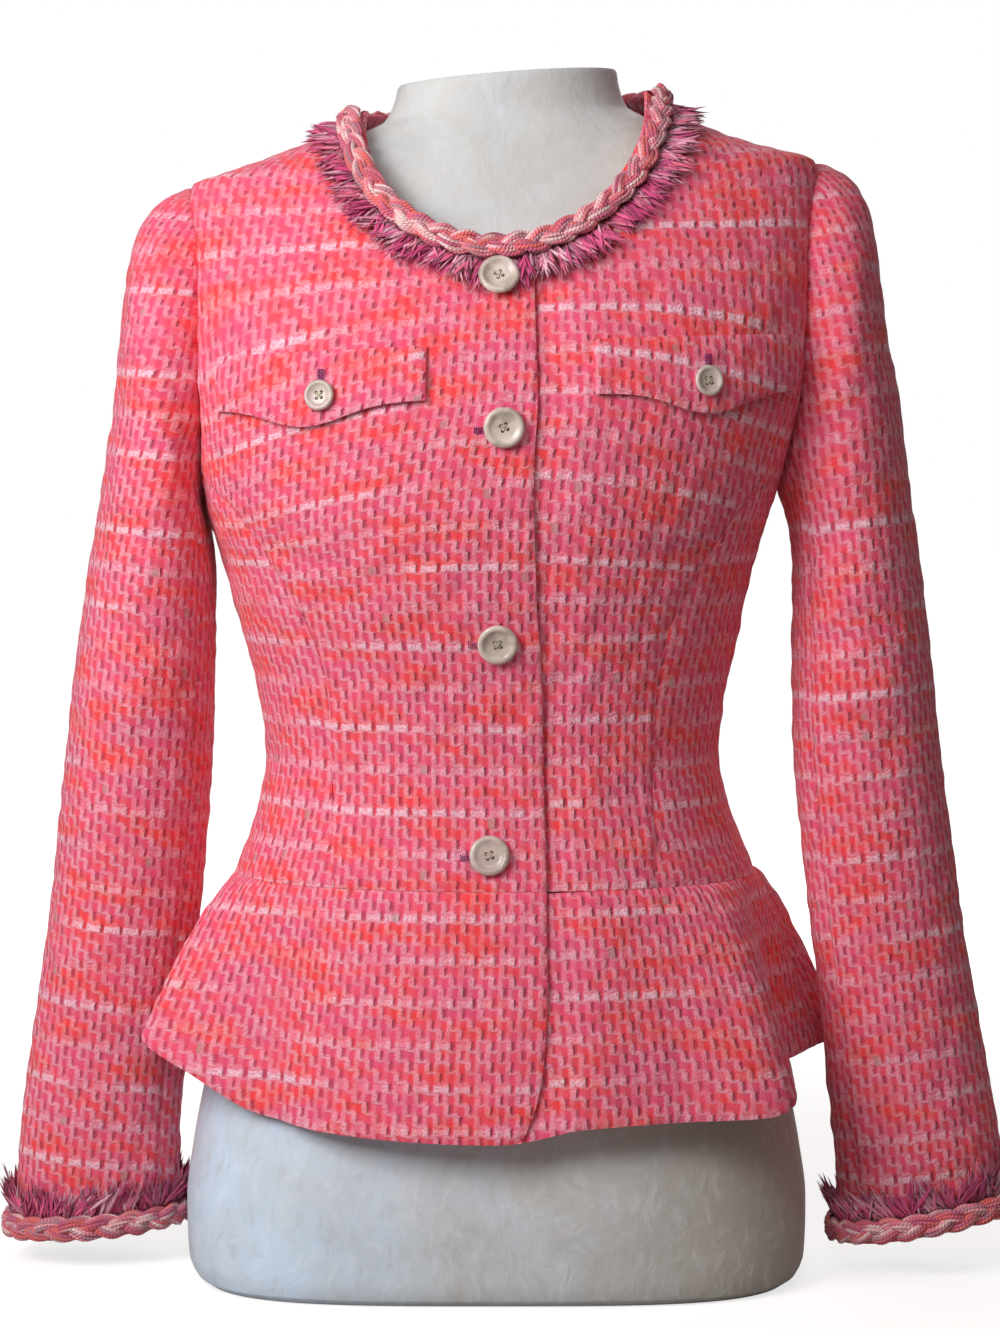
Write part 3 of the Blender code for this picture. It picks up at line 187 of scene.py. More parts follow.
class Torso:
    """Level sections of the bodice's outer face, and the seams that lie on it, for the +X half."""

    WAIST_Z = 0.238
    NECK_FRONT_Z = 0.609
    NECK_POINT_Z = 0.693
    NECK_BACK_Z = 0.699
    NECK_HALF_WIDTH = 0.0825
    UNDERARM_Z = 0.462
    TIP_Z = 0.65
    ARMHOLE_FRONT = 0.052
    ARMHOLE_BACK = 0.056
    FRONT_NOTCH = 144.0
    BACK_NOTCH = 252.0
    # Height, half width, depth in front, depth behind, squareness
    ROWS = (
        (0.238, 0.156, 0.108, 0.1, 2.2), (0.262, 0.1455, 0.102, 0.092, 2.2),
        (0.285, 0.1385, 0.098, 0.087, 2.2), (0.309, 0.135, 0.0955, 0.085, 2.2),
        (0.345, 0.1392, 0.0985, 0.089, 2.2), (0.381, 0.1478, 0.106, 0.095, 2.2),
        (0.416, 0.156, 0.1145, 0.1, 2.25), (0.462, 0.1695, 0.122, 0.105, 2.35),
        (0.5, 0.1795, 0.123, 0.1075, 2.4), (0.54, 0.187, 0.1165, 0.108, 2.45),
        (0.58, 0.191, 0.104, 0.106, 2.45), (0.61, 0.192, 0.0905, 0.101, 2.4),
        (0.635, 0.19, 0.0775, 0.093, 2.35), (0.65, 0.1845, 0.07, 0.087, 2.3),
        (0.662, 0.148, 0.0645, 0.083, 2.25), (0.673, 0.118, 0.059, 0.0785, 2.2),
        (0.682, 0.097, 0.0545, 0.0745, 2.2), (0.693, 0.085, 0.05, 0.0695, 2.2),
        (0.705, 0.079, 0.0455, 0.065, 2.2),
    )
    # Height and distance from the middle
    FRONT_SEAM = (
        (0.238, 0.0925), (0.3, 0.0935), (0.35, 0.095), (0.38, 0.102), (0.408, 0.115),
        (0.435, 0.133), (0.458, 0.149),
    )
    BACK_SEAM = (
        (0.238, 0.09), (0.3, 0.082), (0.36, 0.088), (0.42, 0.106), (0.47, 0.128),
    )
    LAPPED_EDGE = (
        (0.098, 0.012), (0.108, 0.018), (0.122, 0.0235), (0.145, 0.0275), (0.19, 0.0295),
        (0.3, 0.0295), (0.42, 0.0265), (0.5, 0.0215), (0.61, 0.017),
    )

    def __init__(self) -> None:
        """Reads the tables."""
        self.half_width, self.front, self.back, self.squareness = (
            column(self.ROWS, place) for place in (1, 2, 3, 4)
        )
        self.lapped_edge = column(self.LAPPED_EDGE)

    def level(self, points: Array) -> Array:
        """0 on the outer face, negative inside it."""
        x, y, z = points[..., 0], points[..., 1], points[..., 2]
        depth = np.where(y < 0, self.front(z), self.back(z))
        power = self.squareness(z)
        return ((np.abs(x) / self.half_width(z)) ** power + (np.abs(y) / depth) ** power) ** (1 / power) - 1

    def gradient(self, points: Array) -> Array:
        """How the level changes along X, Y and Z."""
        step = 1e-5
        shifts = np.eye(3) * step
        changes = [self.level(points + shift) - self.level(points - shift) for shift in shifts]
        return np.stack(changes, -1) / (2 * step)

    def normal(self, points: Array) -> Array:
        """Unit vectors that lead off the outer face."""
        return unit(self.gradient(points))

    def drawn(self, points: Array, rounds: int = 9) -> Array:
        """Points near the outer face, drawn straight onto it."""
        points = np.array(points, float)
        for _ in range(rounds):
            gradient = self.gradient(points)
            size = np.maximum((gradient**2).sum(-1), 1.0)
            points -= (self.level(points) / size)[..., None] * gradient
        return points

    def face_point(self, x: Array, z: Array, behind: bool = False) -> Array:
        """The point of the front, or of the back, at this place in the front view."""
        power = self.squareness(z)
        part = np.clip(np.abs(x) / self.half_width(z), 0.0, 1.0) ** power
        depth = self.back(z) if behind else -self.front(z)
        return np.stack([x + 0 * z, depth * (1 - part) ** (1 / power), z + 0 * x], -1)

    @staticmethod
    def ring(angle: Array, half_width: Array, front: Array, back: Array, power: Array, z: Array) -> Array:
        """Points of a level section; the angle in degrees is 0 at the front and 90 on the +X side."""
        turn = np.radians(angle)
        across, along = np.sin(turn), np.cos(turn)
        depth = np.where(along > 0, front, back)
        x = half_width * np.sign(across) * np.abs(across) ** (2 / power)
        y = -depth * np.sign(along) * np.abs(along) ** (2 / power)
        return np.stack(np.broadcast_arrays(x, y, z), -1)

    def section(self, angle: Array, z: Array) -> Array:
        """Points of the bodice's own section at this height."""
        return self.ring(angle, self.half_width(z), self.front(z), self.back(z), self.squareness(z), z)

    def armhole(self, turn: Array) -> Array:
        """The armhole: 0 is the shoulder tip, 90 the front, 180 the underarm and 270 the back."""
        angle = np.radians(turn)
        reach = np.where(np.sin(angle) > 0, self.ARMHOLE_FRONT, self.ARMHOLE_BACK)
        y = -reach * np.sin(angle)
        z = (self.TIP_Z + self.UNDERARM_Z) / 2 + (self.TIP_Z - self.UNDERARM_Z) / 2 * np.cos(angle)
        power = self.squareness(z)
        depth = np.where(y < 0, self.front(z), self.back(z))
        x = self.half_width(z) * (1 - (np.abs(y) / depth) ** power) ** (1 / power)
        return np.stack([x, y, z], -1)

    def princess(self, rows: tuple, notch: float, behind: bool) -> Array:
        """A princess seam as a fine polyline on the body, ending in an armhole point."""
        heights = np.linspace(rows[0][0], rows[-1][0], 60)
        across = column(rows)(heights)
        line = self.face_point(across, heights, behind)
        end = self.armhole(np.array(notch))
        last = self.drawn(np.linspace(line[-1], end, 24))
        return self.drawn(resample(chain(line, last), 80))

    def ridge(self, start: float, end: float, count: int) -> Array:
        """The line where the body is widest, from one height to another."""
        heights = np.linspace(start, end, count)
        return np.stack([self.half_width(heights), 0 * heights, heights], -1)

    def neckline(self, first: float, last: float, count: int) -> Array:
        """Neck edge between two turns; 0 is the middle of the front, 90 the neck point and 180 the back."""
        turn = np.radians(np.linspace(first, last, 600))
        drop = np.maximum(np.cos(turn), 0)
        rise = np.sin(np.maximum(np.abs(turn) - np.pi / 2, 0)) ** 2
        z = self.NECK_POINT_Z - (self.NECK_POINT_Z - self.NECK_FRONT_Z) * drop
        z += (self.NECK_BACK_Z - self.NECK_POINT_Z) * rise
        across = np.where(drop > 0, self.NECK_HALF_WIDTH, self.half_width(z)) * np.sin(turn)
        behind = (np.abs(turn) > np.pi / 2)[:, None]
        return resample(np.where(behind, self.face_point(across, z, True), self.face_point(across, z)), count)

    def waist_arc(self, start: Array, end: Array) -> Array:
        """The waist seam between two of its points."""
        angles = np.linspace(0, 180, 1441)
        line = self.section(angles, np.full(len(angles), self.WAIST_Z))
        first = int(np.argmin(norm(line - start, axis=1)))
        last = int(np.argmin(norm(line - end, axis=1)))
        arc = line[first : last + 1].copy()
        arc[0], arc[-1] = start, end
        return arc


class Arm:
    """The sleeve's rings: outer and inner line of the front view, and half depth, for the +X side."""

    NAMES = ("station", "outer_x", "outer_z", "inner_x", "inner_z", "half_depth")
    ROWS = (
        (0, 0.1845, 0.65, 0.1705, 0.462, 0.054), (1, 0.1985, 0.6445, 0.1712, 0.458, 0.0575),
        (2, 0.2095, 0.6345, 0.1716, 0.453, 0.0595), (3, 0.218, 0.615, 0.1718, 0.446, 0.061),
        (4, 0.223, 0.585, 0.172, 0.437, 0.0615), (5, 0.228, 0.544, 0.172, 0.426, 0.061),
        (6, 0.2345, 0.503, 0.172, 0.412, 0.06), (7, 0.241, 0.458, 0.172, 0.394, 0.058),
        (8, 0.2485, 0.411, 0.172, 0.37, 0.0555), (9, 0.255, 0.362, 0.1725, 0.34, 0.0525),
        (10, 0.2605, 0.313, 0.174, 0.303, 0.049), (11, 0.2665, 0.264, 0.1775, 0.261, 0.0455),
        (12, 0.2725, 0.216, 0.182, 0.216, 0.042), (13, 0.28, 0.168, 0.188, 0.168, 0.039),
        (14, 0.2875, 0.121, 0.1925, 0.121, 0.0365), (15, 0.2945, 0.074, 0.197, 0.074, 0.034),
        (16, 0.299, 0.021, 0.199, 0.021, 0.032),
    )
    FREE = 6.0
    # Height and swing away from the body
    SWING = (
        (0.022, 0.0067), (0.12, 0.0048), (0.25, 0.0052), (0.33, 0.0062), (0.37, 0.007),
        (0.4, 0.0088), (0.445, 0.0088), (0.475, 0.0066), (0.51, 0.003), (0.56, 0.0), (0.65, -0.001),
    )
    TOP = 0.46
    FORWARD = {Side.RIGHT: -0.012, Side.LEFT: 0.018}
    CUFF_TILT = {Side.RIGHT: -0.09, Side.LEFT: 0.2}
    CUFF_RISE = {Side.RIGHT: -0.004, Side.LEFT: 0.005}
    CUFF_MIDDLE = 0.25

    def __init__(self, torso: Torso) -> None:
        """Reads the tables."""
        self.torso = torso
        self.at = {name: column(self.ROWS, place) for place, name in enumerate(self.NAMES)}
        self.swing = column(self.SWING)

    def _tube(self, angle: Array, station: Array) -> Array:
        """Points of the plain rings."""
        outer = np.stack([self.at["outer_x"](station), 0 * station, self.at["outer_z"](station)], -1)
        inner = np.stack([self.at["inner_x"](station), 0 * station, self.at["inner_z"](station)], -1)
        points = (outer + inner) / 2 + (outer - inner) / 2 * np.cos(angle)[..., None]
        points[..., 1] = -self.at["half_depth"](station) * np.sin(angle)
        return points

    def point(self, turn: Array, station: Array, side: Side) -> Array:
        """Points of the outer face where this arm hangs, still on the +X side."""
        turn, station = np.broadcast_arrays(np.asarray(turn, float), np.asarray(station, float))
        angle = np.radians(turn)
        placed = self._tube(angle, station)
        hold = np.clip(1 - station / 4, 0, 1) ** 1.5
        placed += hold[..., None] * (self.torso.armhole(turn) - self._tube(angle, np.zeros_like(station)))
        height = placed[..., 2]
        below = np.clip((self.TOP - height) / self.TOP, 0, 1)
        slant = self.CUFF_TILT[side] * (placed[..., 0] - self.CUFF_MIDDLE) + self.CUFF_RISE[side]
        placed[..., 0] += side.value * self.swing(height) * smooth(station, 0.0, self.FREE)
        placed[..., 1] -= self.FORWARD[side] * below
        placed[..., 2] = height + slant * smooth(below, 0.4, 1.0)
        return placed

    def normal(self, turn: Array, station: Array, side: Side) -> Array:
        """Unit vectors that lead off the outer face."""
        step = 0.02
        around = self.point(turn + step, station, side) - self.point(turn - step, station, side)
        low = np.maximum(station - step, 0.0)
        along = self.point(turn, station + step, side) - self.point(turn, low, side)
        return unit(np.cross(around, along))


class Skirt:
    """The peplum's outer face, from the waist seam to the hem, with its flutes."""

    HEM_HALF_WIDTH = 0.185
    HEM_FRONT = 0.138
    HEM_BACK = 0.14
    FLARE_POWER = 0.8
    FOLD_POWER = 0.64
    # Angle, way out at the hem, spread in degrees
    FLUTES = (
        (-95.0, -0.014, 10.0), (-74.0, 0.029, 8.5), (-63.0, 0.011, 9.0), (-44.0, -0.007, 10.0),
        (50.0, 0.028, 12.0), (74.0, -0.012, 9.0), (100.0, 0.029, 9.5), (118.0, -0.008, 8.0),
        (139.0, 0.026, 13.0), (180.0, 0.01, 15.0), (-137.0, 0.026, 13.0),
    )
    # Angle and height
    HEM = (
        (-180.0, 0.122), (-132.0, 0.127), (-100.0, 0.139), (-77.0, 0.147), (-64.0, 0.131),
        (-48.0, 0.108), (-25.0, 0.102), (0.0, 0.099), (14.0, 0.107), (45.0, 0.11), (58.0, 0.119),
        (75.0, 0.126), (98.0, 0.132), (135.0, 0.127), (180.0, 0.122),
    )

    def __init__(self, torso: Torso) -> None:
        """Reads the tables."""
        self.torso = torso
        self.hem_height = column(self.HEM)

    def flute(self, angle: Array) -> Array:
        """How far the flutes push the hem out at this angle."""
        out = np.zeros_like(angle)
        for middle, reach, spread in self.FLUTES:
            away = (angle - middle + 180) % 360 - 180
            out = out + reach * np.exp(-((away / spread) ** 2))
        return out

    def point(self, angle: Array, down: Array) -> Array:
        """Points of the outer face; down is 0 at the waist seam and 1 at the hem."""
        angle, down = np.broadcast_arrays(np.asarray(angle, float), np.asarray(down, float))
        waist = Torso.WAIST_Z
        seam = self.torso.section(angle, np.full(angle.shape, waist))
        height = waist + (self.hem_height(angle) - waist) * down
        hem = Torso.ring(angle, self.HEM_HALF_WIDTH, self.HEM_FRONT, self.HEM_BACK, 2.2, height)
        points = seam + (hem - seam) * (np.maximum(down, 0) ** self.FLARE_POWER)[..., None]
        points[..., 2] = height
        turn = np.radians(angle)
        reach = self.flute(angle) * np.maximum(down, 0) ** self.FOLD_POWER
        points[..., 0] += np.sin(turn) * reach
        points[..., 1] -= np.cos(turn) * reach
        return points

    def normal(self, angle: Array, down: Array) -> Array:
        """Unit vectors that lead off the outer face."""
        step, turn = 0.002, 0.08
        around = self.point(angle + turn, down) - self.point(angle - turn, down)
        low = np.maximum(down - step, 0.0)
        along = self.point(angle, down + step) - self.point(angle, low)
        return unit(np.cross(along, around))


STANCE = Stance()
TORSO = Torso()
ARM = Arm(TORSO)
SKIRT = Skirt(TORSO)


# Shader and geometry trees


class Graph:
    """Adds nodes to a tree in one call each."""

    def __init__(self, tree: Tree) -> None:
        """Starts on this tree."""
        self.tree = tree

    def add(self, kind: str, sockets: dict | None = None, **settings: object) -> Node:
        """Adds a node.

        Args:
            kind: The node's type.
            sockets: What each input takes, by its name or number: a socket to link, or a plain value.
            settings: The node's own settings.

        Returns:
            The node.
        """
        node = self.tree.nodes.new(kind)
        for name, value in settings.items():
            setattr(node, name, value)
        for name, value in (sockets or {}).items():
            socket = node.inputs[name]
            if isinstance(value, Socket):
                self.link(value, socket)
            else:
                socket.default_value = value
        return node

    def out(self, kind: str, sockets: dict | None = None, **settings: object) -> Socket:
        """Adds a node and gives its first output."""
        return self.add(kind, sockets, **settings).outputs[0]

    def link(self, value: Socket, socket: Socket) -> None:
        """Joins an output to an input."""
        self.tree.links.new(value, socket)

    def math(self, operation: str, *values: object) -> Socket:
        """A Math node's result."""
        return self.out("ShaderNodeMath", dict(enumerate(values)), operation=operation)

    def mul(self, first: object, second: object) -> Socket:
        """Two values multiplied."""
        return self.math("MULTIPLY", first, second)

    def mad(self, value: object, factor: object, more: object) -> Socket:
        """A value multiplied by a factor, with more added."""
        return self.math("MULTIPLY_ADD", value, factor, more)

    def sub(self, first: object, second: object) -> Socket:
        """One value less another."""
        return self.math("SUBTRACT", first, second)

    def vmath(self, operation: str, first: object, second: object) -> Socket:
        """A Vector Math node's result; SCALE takes a plain number as its second value."""
        sockets = {0: first, "Scale" if operation == "SCALE" else 1: second}
        return self.out("ShaderNodeVectorMath", sockets, operation=operation)

    def step(self, value: Socket, low: float, high: float) -> Socket:
        """Rises smoothly from 0 at low to 1 at high; high may be the smaller one."""
        sockets = {"Value": value, "From Min": low, "From Max": high}
        return self.add("ShaderNodeMapRange", sockets, interpolation_type="SMOOTHSTEP").outputs["Result"]

    def near(self, value: Socket, middle: float, far: float, close: float) -> Socket:
        """Rises smoothly from 0, this far from a middle value, to 1 close to it."""
        return self.step(self.math("ABSOLUTE", self.sub(value, middle)), far, close)

    def noise(self, vector: Socket, scale: float, detail: float = 2.0, result: str = "Fac") -> Socket:
        """A noise texture's value, or its colour."""
        sockets = {"Vector": vector, "Scale": scale, "Detail": detail}
        return self.add("ShaderNodeTexNoise", sockets).outputs[result]

    def streaks(self, x: Socket, y: Socket, across: float, up: float, detail: float) -> Socket:
        """Noise over two values, with its own scale for each."""
        return self.noise(self.vector(self.mul(x, across), self.mul(y, up)), 1.0, detail)

    def place(self) -> Socket:
        """The Object coordinates."""
        return self.add("ShaderNodeTexCoord").outputs["Object"]

    def vector(self, x: object, y: object, z: object = 0.0) -> Socket:
        """A vector of three numbers."""
        return self.out("ShaderNodeCombineXYZ", {0: x, 1: y, 2: z})

    def mix(self, share: object, first: object, second: object, blend: str = "MIX") -> Socket:
        """A mix of two colours."""
        sockets = {"Factor": share, 6: first, 7: second}
        return self.add("ShaderNodeMix", sockets, data_type="RGBA", blend_type=blend).outputs[2]

    def ramp(self, value: Socket, stops: tuple) -> Socket:
        """A colour ramp; each stop is a place and a colour."""
        node = self.add("ShaderNodeValToRGB", {0: value})
        ramp = node.color_ramp
        while len(ramp.elements) < len(stops):
            ramp.elements.new(1.0)
        for element, (place, color) in zip(ramp.elements, stops):
            element.position = place
            element.color = color
        return node.outputs[0]


def srgb(red: int, green: int, blue: int) -> tuple[float, float, float, float]:
    """A colour of 0 to 255 in the usual screen coding, as linear light."""
    parts = (value / 255 for value in (red, green, blue))
    return (*(p / 12.92 if p <= 0.04045 else ((p + 0.055) / 1.055) ** 2.4 for p in parts), 1.0)


def dyes(*stops: tuple) -> tuple:
    """Stops of a colour ramp, each from its place and its red, green and blue of 0 to 255."""
    return tuple((place, srgb(*color)) for place, *color in stops)


FLOAT, VECTOR, INT, MATERIAL = (f"NodeSocket{kind}" for kind in ("Float", "Vector", "Int", "Material"))


def add_inputs(tree: Tree, inputs: dict) -> None:
    """Gives a tree its inputs: each is a default number, or the socket type of one without a default."""
    for label, value in inputs.items():
        kind = {float: FLOAT, int: INT}.get(type(value), value)
        socket = tree.interface.new_socket(label, in_out="INPUT", socket_type=kind)
        if kind != value:
            socket.default_value = value


def node_group(name: str, inputs: dict, outputs: tuple) -> tuple:
    """Makes a shader node group.

    Args:
        name: The group's name.
        inputs: Each input's default number, or its socket type.
        outputs: The names of its outputs, which are all numbers.

    Returns:
        Its graph, the sockets that its inputs feed and the sockets that feed its outputs.
    """
    tree = bpy.data.node_groups.new(name, "ShaderNodeTree")
    add_inputs(tree, inputs)
    for label in outputs:
        tree.interface.new_socket(label, in_out="OUTPUT", socket_type=FLOAT)
    graph = Graph(tree)
    return graph, graph.add("NodeGroupInput").outputs, graph.add("NodeGroupOutput").inputs


def weave_group() -> Tree:
    """Builds the boucle weave: dark slits laid like bricks, joined by a stair of pale strokes.

    Each stroke runs down beside a slit and on under it to the next one, a row lower.
    """
    inputs = {
        "Grain": VECTOR,
        "Looseness": 1.0,
        "Float Length": 0.0114,
        "Row Height": 0.006,
        "Slit Width": 0.0021,
        "Waver": 0.0016,
    }
    outputs = ("Slit", "Stroke", "Accent", "Dye", "Fleck", "Shade", "Height")
    g, take, give = node_group("tweed_weave", inputs, outputs)
    place = take["Grain"]
    for scale, share in ((110.0, 1.0), (560.0, 0.75)):
        noise = g.noise(take["Grain"], scale, 1.0, "Color")
        centred = g.vmath("SUBTRACT", noise, (0.5, 0.5, 0.5))
        place = g.vmath("ADD", place, g.vmath("SCALE", centred, g.mul(take["Waver"], share)))
    x, z, _ = g.add("ShaderNodeSeparateXYZ", {0: place}).outputs
    rows = g.math("DIVIDE", z, take["Row Height"])
    row, up = g.math("FLOOR", rows), g.math("FRACT", rows)
    odd = g.mul(g.math("FLOORED_MODULO", row, 2.0), 0.5)
    along = g.math("ADD", g.math("DIVIDE", x, take["Float Length"]), odd)
    brick, part = g.math("FLOOR", along), g.math("FRACT", along)
    dice = g.add("ShaderNodeTexWhiteNoise", {"Vector": g.vector(brick, row)}, noise_dimensions="2D")
    chance = g.add("ShaderNodeSeparateColor", {0: dice.outputs["Color"]}).outputs
    from_slit = g.mul(g.math("ABSOLUTE", g.sub(part, 0.5)), take["Float Length"])
    half = g.mul(take["Slit Width"], g.mad(chance[0], 0.3, 0.38))
    near = g.math("DIVIDE", from_slit, half)
    tall = g.mul(g.mad(chance[0], 0.34, 0.62), g.mad(take["Looseness"], 0.5, 0.5))
    window = g.mul(g.step(up, -0.1, 0.18), g.step(g.sub(up, tall), 0.3, 0.0))
    slit = g.mul(g.mul(g.step(near, 1.4, 0.25), window), g.mad(chance[1], 0.7, 0.3))
    left = g.near(part, 0.285, 0.225, 0.065)
    right = g.mul(g.near(part, 0.72, 0.19, 0.04), g.mad(chance[2], 0.75, 0.1))
    low = g.mul(g.step(up, 0.42, 0.06), g.near(part, 0.55, 0.34, 0.22))
    wrapped = g.math("FRACT", g.math("ADD", part, 0.45))
    high = g.mul(g.step(up, 0.74, 0.95), g.near(wrapped, 0.5, 0.34, 0.22))
    stroke = g.math("MAXIMUM", g.math("MAXIMUM", left, right), g.math("MAXIMUM", low, high))
    patchy = g.step(g.streaks(x, z, 55.0, 75.0, 2.0), 0.34, 0.62)
    stroke = g.mul(stroke, g.mad(patchy, 0.5, 0.5))
    stroke = g.mul(stroke, g.mad(take["Looseness"], 0.2, 0.8))
    ragged = g.streaks(x, z, 640.0, 900.0, 1.0)
    stroke = g.mul(stroke, g.mad(g.step(ragged, 0.3, 0.52), 0.5, 0.5))
    fourth, eighth = (g.math("COMPARE", g.math("FLOORED_MODULO", row, n), 0.0, 0.5) for n in (4.0, 8.0))
    dash = g.mul(g.near(up, 0.44, 0.5, 0.16), g.step(near, 0.6, 2.0))
    fade = g.mad(g.step(g.streaks(x, row, 12.0, 1.7, 3.0), 0.38, 0.6), 0.84, 0.16)
    strength = g.mul(fade, g.mad(eighth, 0.4, 0.6))
    accent = g.mul(g.mul(fourth, dash), strength)
    accent = g.mul(accent, g.mad(g.step(ragged, 0.34, 0.54), 0.6, 0.4))
    streak = g.streaks(x, row, 60.0, 3.7, 1.0)
    dye = g.mad(streak, 0.16, g.mul(g.streaks(x, z, 22.0, 62.0, 4.0), 0.84))
    spot = g.mul(g.near(part, 0.15, 0.26, 0.06), window)
    fleck = g.mul(g.math("GREATER_THAN", chance[2], 0.985), spot)
    rounded = g.math("SINE", g.mul(up, math.pi))
    fibre = g.streaks(x, z, 900.0, 1500.0, 2.0)
    pad = g.mad(rounded, 0.15, g.mul(fibre, 0.35))
    height = g.sub(g.mad(stroke, 0.55, pad), g.mul(slit, 0.9))
    height = g.mad(accent, 0.3, height)
    for label, value in zip(outputs, (slit, stroke, accent, dye, fleck, fibre, height)):
        g.link(value, give[label])
    return g.tree


def twist_group() -> Tree:
    """Builds the twist of plied yarn: slanted light and dark turns, with fine fibres along them."""
    inputs = {"Along": 0.0, "Around": 0.0, "Turns": 220.0, "Hue": 0.5}
    outputs = ("Turn", "Dye", "Height")
    g, take, give = node_group("yarn_twist", inputs, outputs)
    slant = g.mad(take["Along"], take["Turns"], take["Around"])
    ply = g.math("ABSOLUTE", g.math("SINE", g.mul(slant, math.pi * 2)))
    dye = g.streaks(take["Along"], take["Hue"], 70.0, 37.0, 1.0)
    hairs = g.streaks(slant, take["Hue"], 9.0, 11.0, 3.0)
    for label, value in zip(outputs, (ply, dye, g.mad(hairs, 0.4, ply))):
        g.link(value, give[label])
    return g.tree


@dataclass(frozen=True)
class Finish:
    """A finish: what its shader's plain sockets are set to."""

    name: str
    roughness: float = 0.85
    sheen: float = 0.0
    sheen_roughness: float = 0.5
    coat: float = 0.0

    def start(self) -> tuple[Material, Graph, Node]:
        """Makes the material with its plain sockets set.

        Returns:
            The material, its graph and its Principled BSDF.
        """
        made = bpy.data.materials.new(self.name)
        made.use_nodes = True
        shader = made.node_tree.nodes["Principled BSDF"]
        names = ("Roughness", "Sheen Weight", "Sheen Roughness", "Coat Weight")
        for name, value in zip(names, (self.roughness, self.sheen, self.sheen_roughness, self.coat)):
            shader.inputs[name].default_value = value
        return made, Graph(made.node_tree), shader

    @staticmethod
    def dress(graph: Graph, shader: Node, color: object, height: object, depth: float) -> None:
        """Feeds a colour and a bump to the shader.

        Args:
            graph: The material's graph.
            shader: Its Principled BSDF.
            color: The colour's socket.
            height: The bump's height, of 0 to 1, or None.
            depth: What a height of 1 stands for, in metres.
        """
        graph.link(color, shader.inputs["Base Color"])
        if height is not None:
            bump = graph.add("ShaderNodeBump", {"Strength": 1.0, "Distance": depth, "Height": height})
            graph.link(bump.outputs["Normal"], shader.inputs["Normal"])


@dataclass(frozen=True)
class Tweed(Finish):
    """Pink and coral boucle tweed with pale strokes, a whitish row every fourth and wine slits."""

    magenta: tuple = srgb(238, 80, 120)
    pink: tuple = srgb(242, 80, 114)
    rose: tuple = srgb(246, 80, 102)
    coral: tuple = srgb(252, 64, 68)
    stroke: tuple = srgb(255, 170, 190)
    warm_stroke: tuple = srgb(255, 154, 158)
    accent: tuple = srgb(255, 220, 236)
    wine: tuple = srgb(160, 40, 76)
    taupe: tuple = srgb(176, 140, 132)
    relief: float = 0.0009

    def build(self, weave: Tree) -> Material:
        """Makes the material from the weave's masks on the cloth's own grain map."""
        made, g, shader = self.start()
        grain = g.out("ShaderNodeUVMap", uv_map="grain")
        place = g.place()
        high = g.add("ShaderNodeSeparateXYZ", {0: place}).outputs[2]
        sockets = {"Grain": grain, "Looseness": g.step(high, 0.6, 0.44)}
        out = g.add("ShaderNodeGroup", sockets, node_tree=weave).outputs
        stops = ((0.36, self.magenta), (0.45, self.pink), (0.51, self.rose), (0.6, self.coral))
        color = g.ramp(out["Dye"], (*stops, (0.7, self.coral)))
        strokes = g.mix(g.step(out["Dye"], 0.5, 0.64), self.stroke, self.warm_stroke)
        color = g.mix(g.mul(out["Stroke"], 0.86), color, strokes)
        color = g.mix(g.mul(out["Accent"], 0.78), color, self.accent)
        color = g.mix(g.mul(out["Fleck"], 0.65), color, self.taupe)
        color = g.mix(g.mul(out["Slit"], 0.62), color, self.wine)
        dark = g.step(out["Shade"], 0.62, 0.28)
        color = g.mix(g.mul(dark, 0.22), color, self.wine)
        self.dress(g, shader, color, out["Height"], self.relief)
        return made


@dataclass(frozen=True)
class Yarn(Finish):
    """Plied yarn, whose colour runs with each yarn's own hue and along it."""

    stops: tuple = ()
    shadow: tuple = srgb(120, 44, 72)
    turns: float = 230.0
    relief: float = 0.0004

    def build(self, twist: Tree) -> Material:
        """Makes the material from the yarn's attributes along, around and hue."""
        made, g, shader = self.start()
        names = ("Along", "Around", "Hue")
        sockets = {n: g.add("ShaderNodeAttribute", attribute_name=n.lower()).outputs["Fac"] for n in names}
        out = g.add("ShaderNodeGroup", {**sockets, "Turns": self.turns}, node_tree=twist).outputs
        color = g.ramp(g.mad(g.sub(out["Dye"], 0.5), 0.9, sockets["Hue"]), self.stops)
        # Painted shade: the grooves between the twist's turns are darkened toward the shadow colour.
        dark = g.mul(g.step(out["Turn"], 0.45, 0.0), 0.55)
        color = g.mix(dark, color, self.shadow)
        self.dress(g, shader, color, out["Height"], self.relief)
        return made


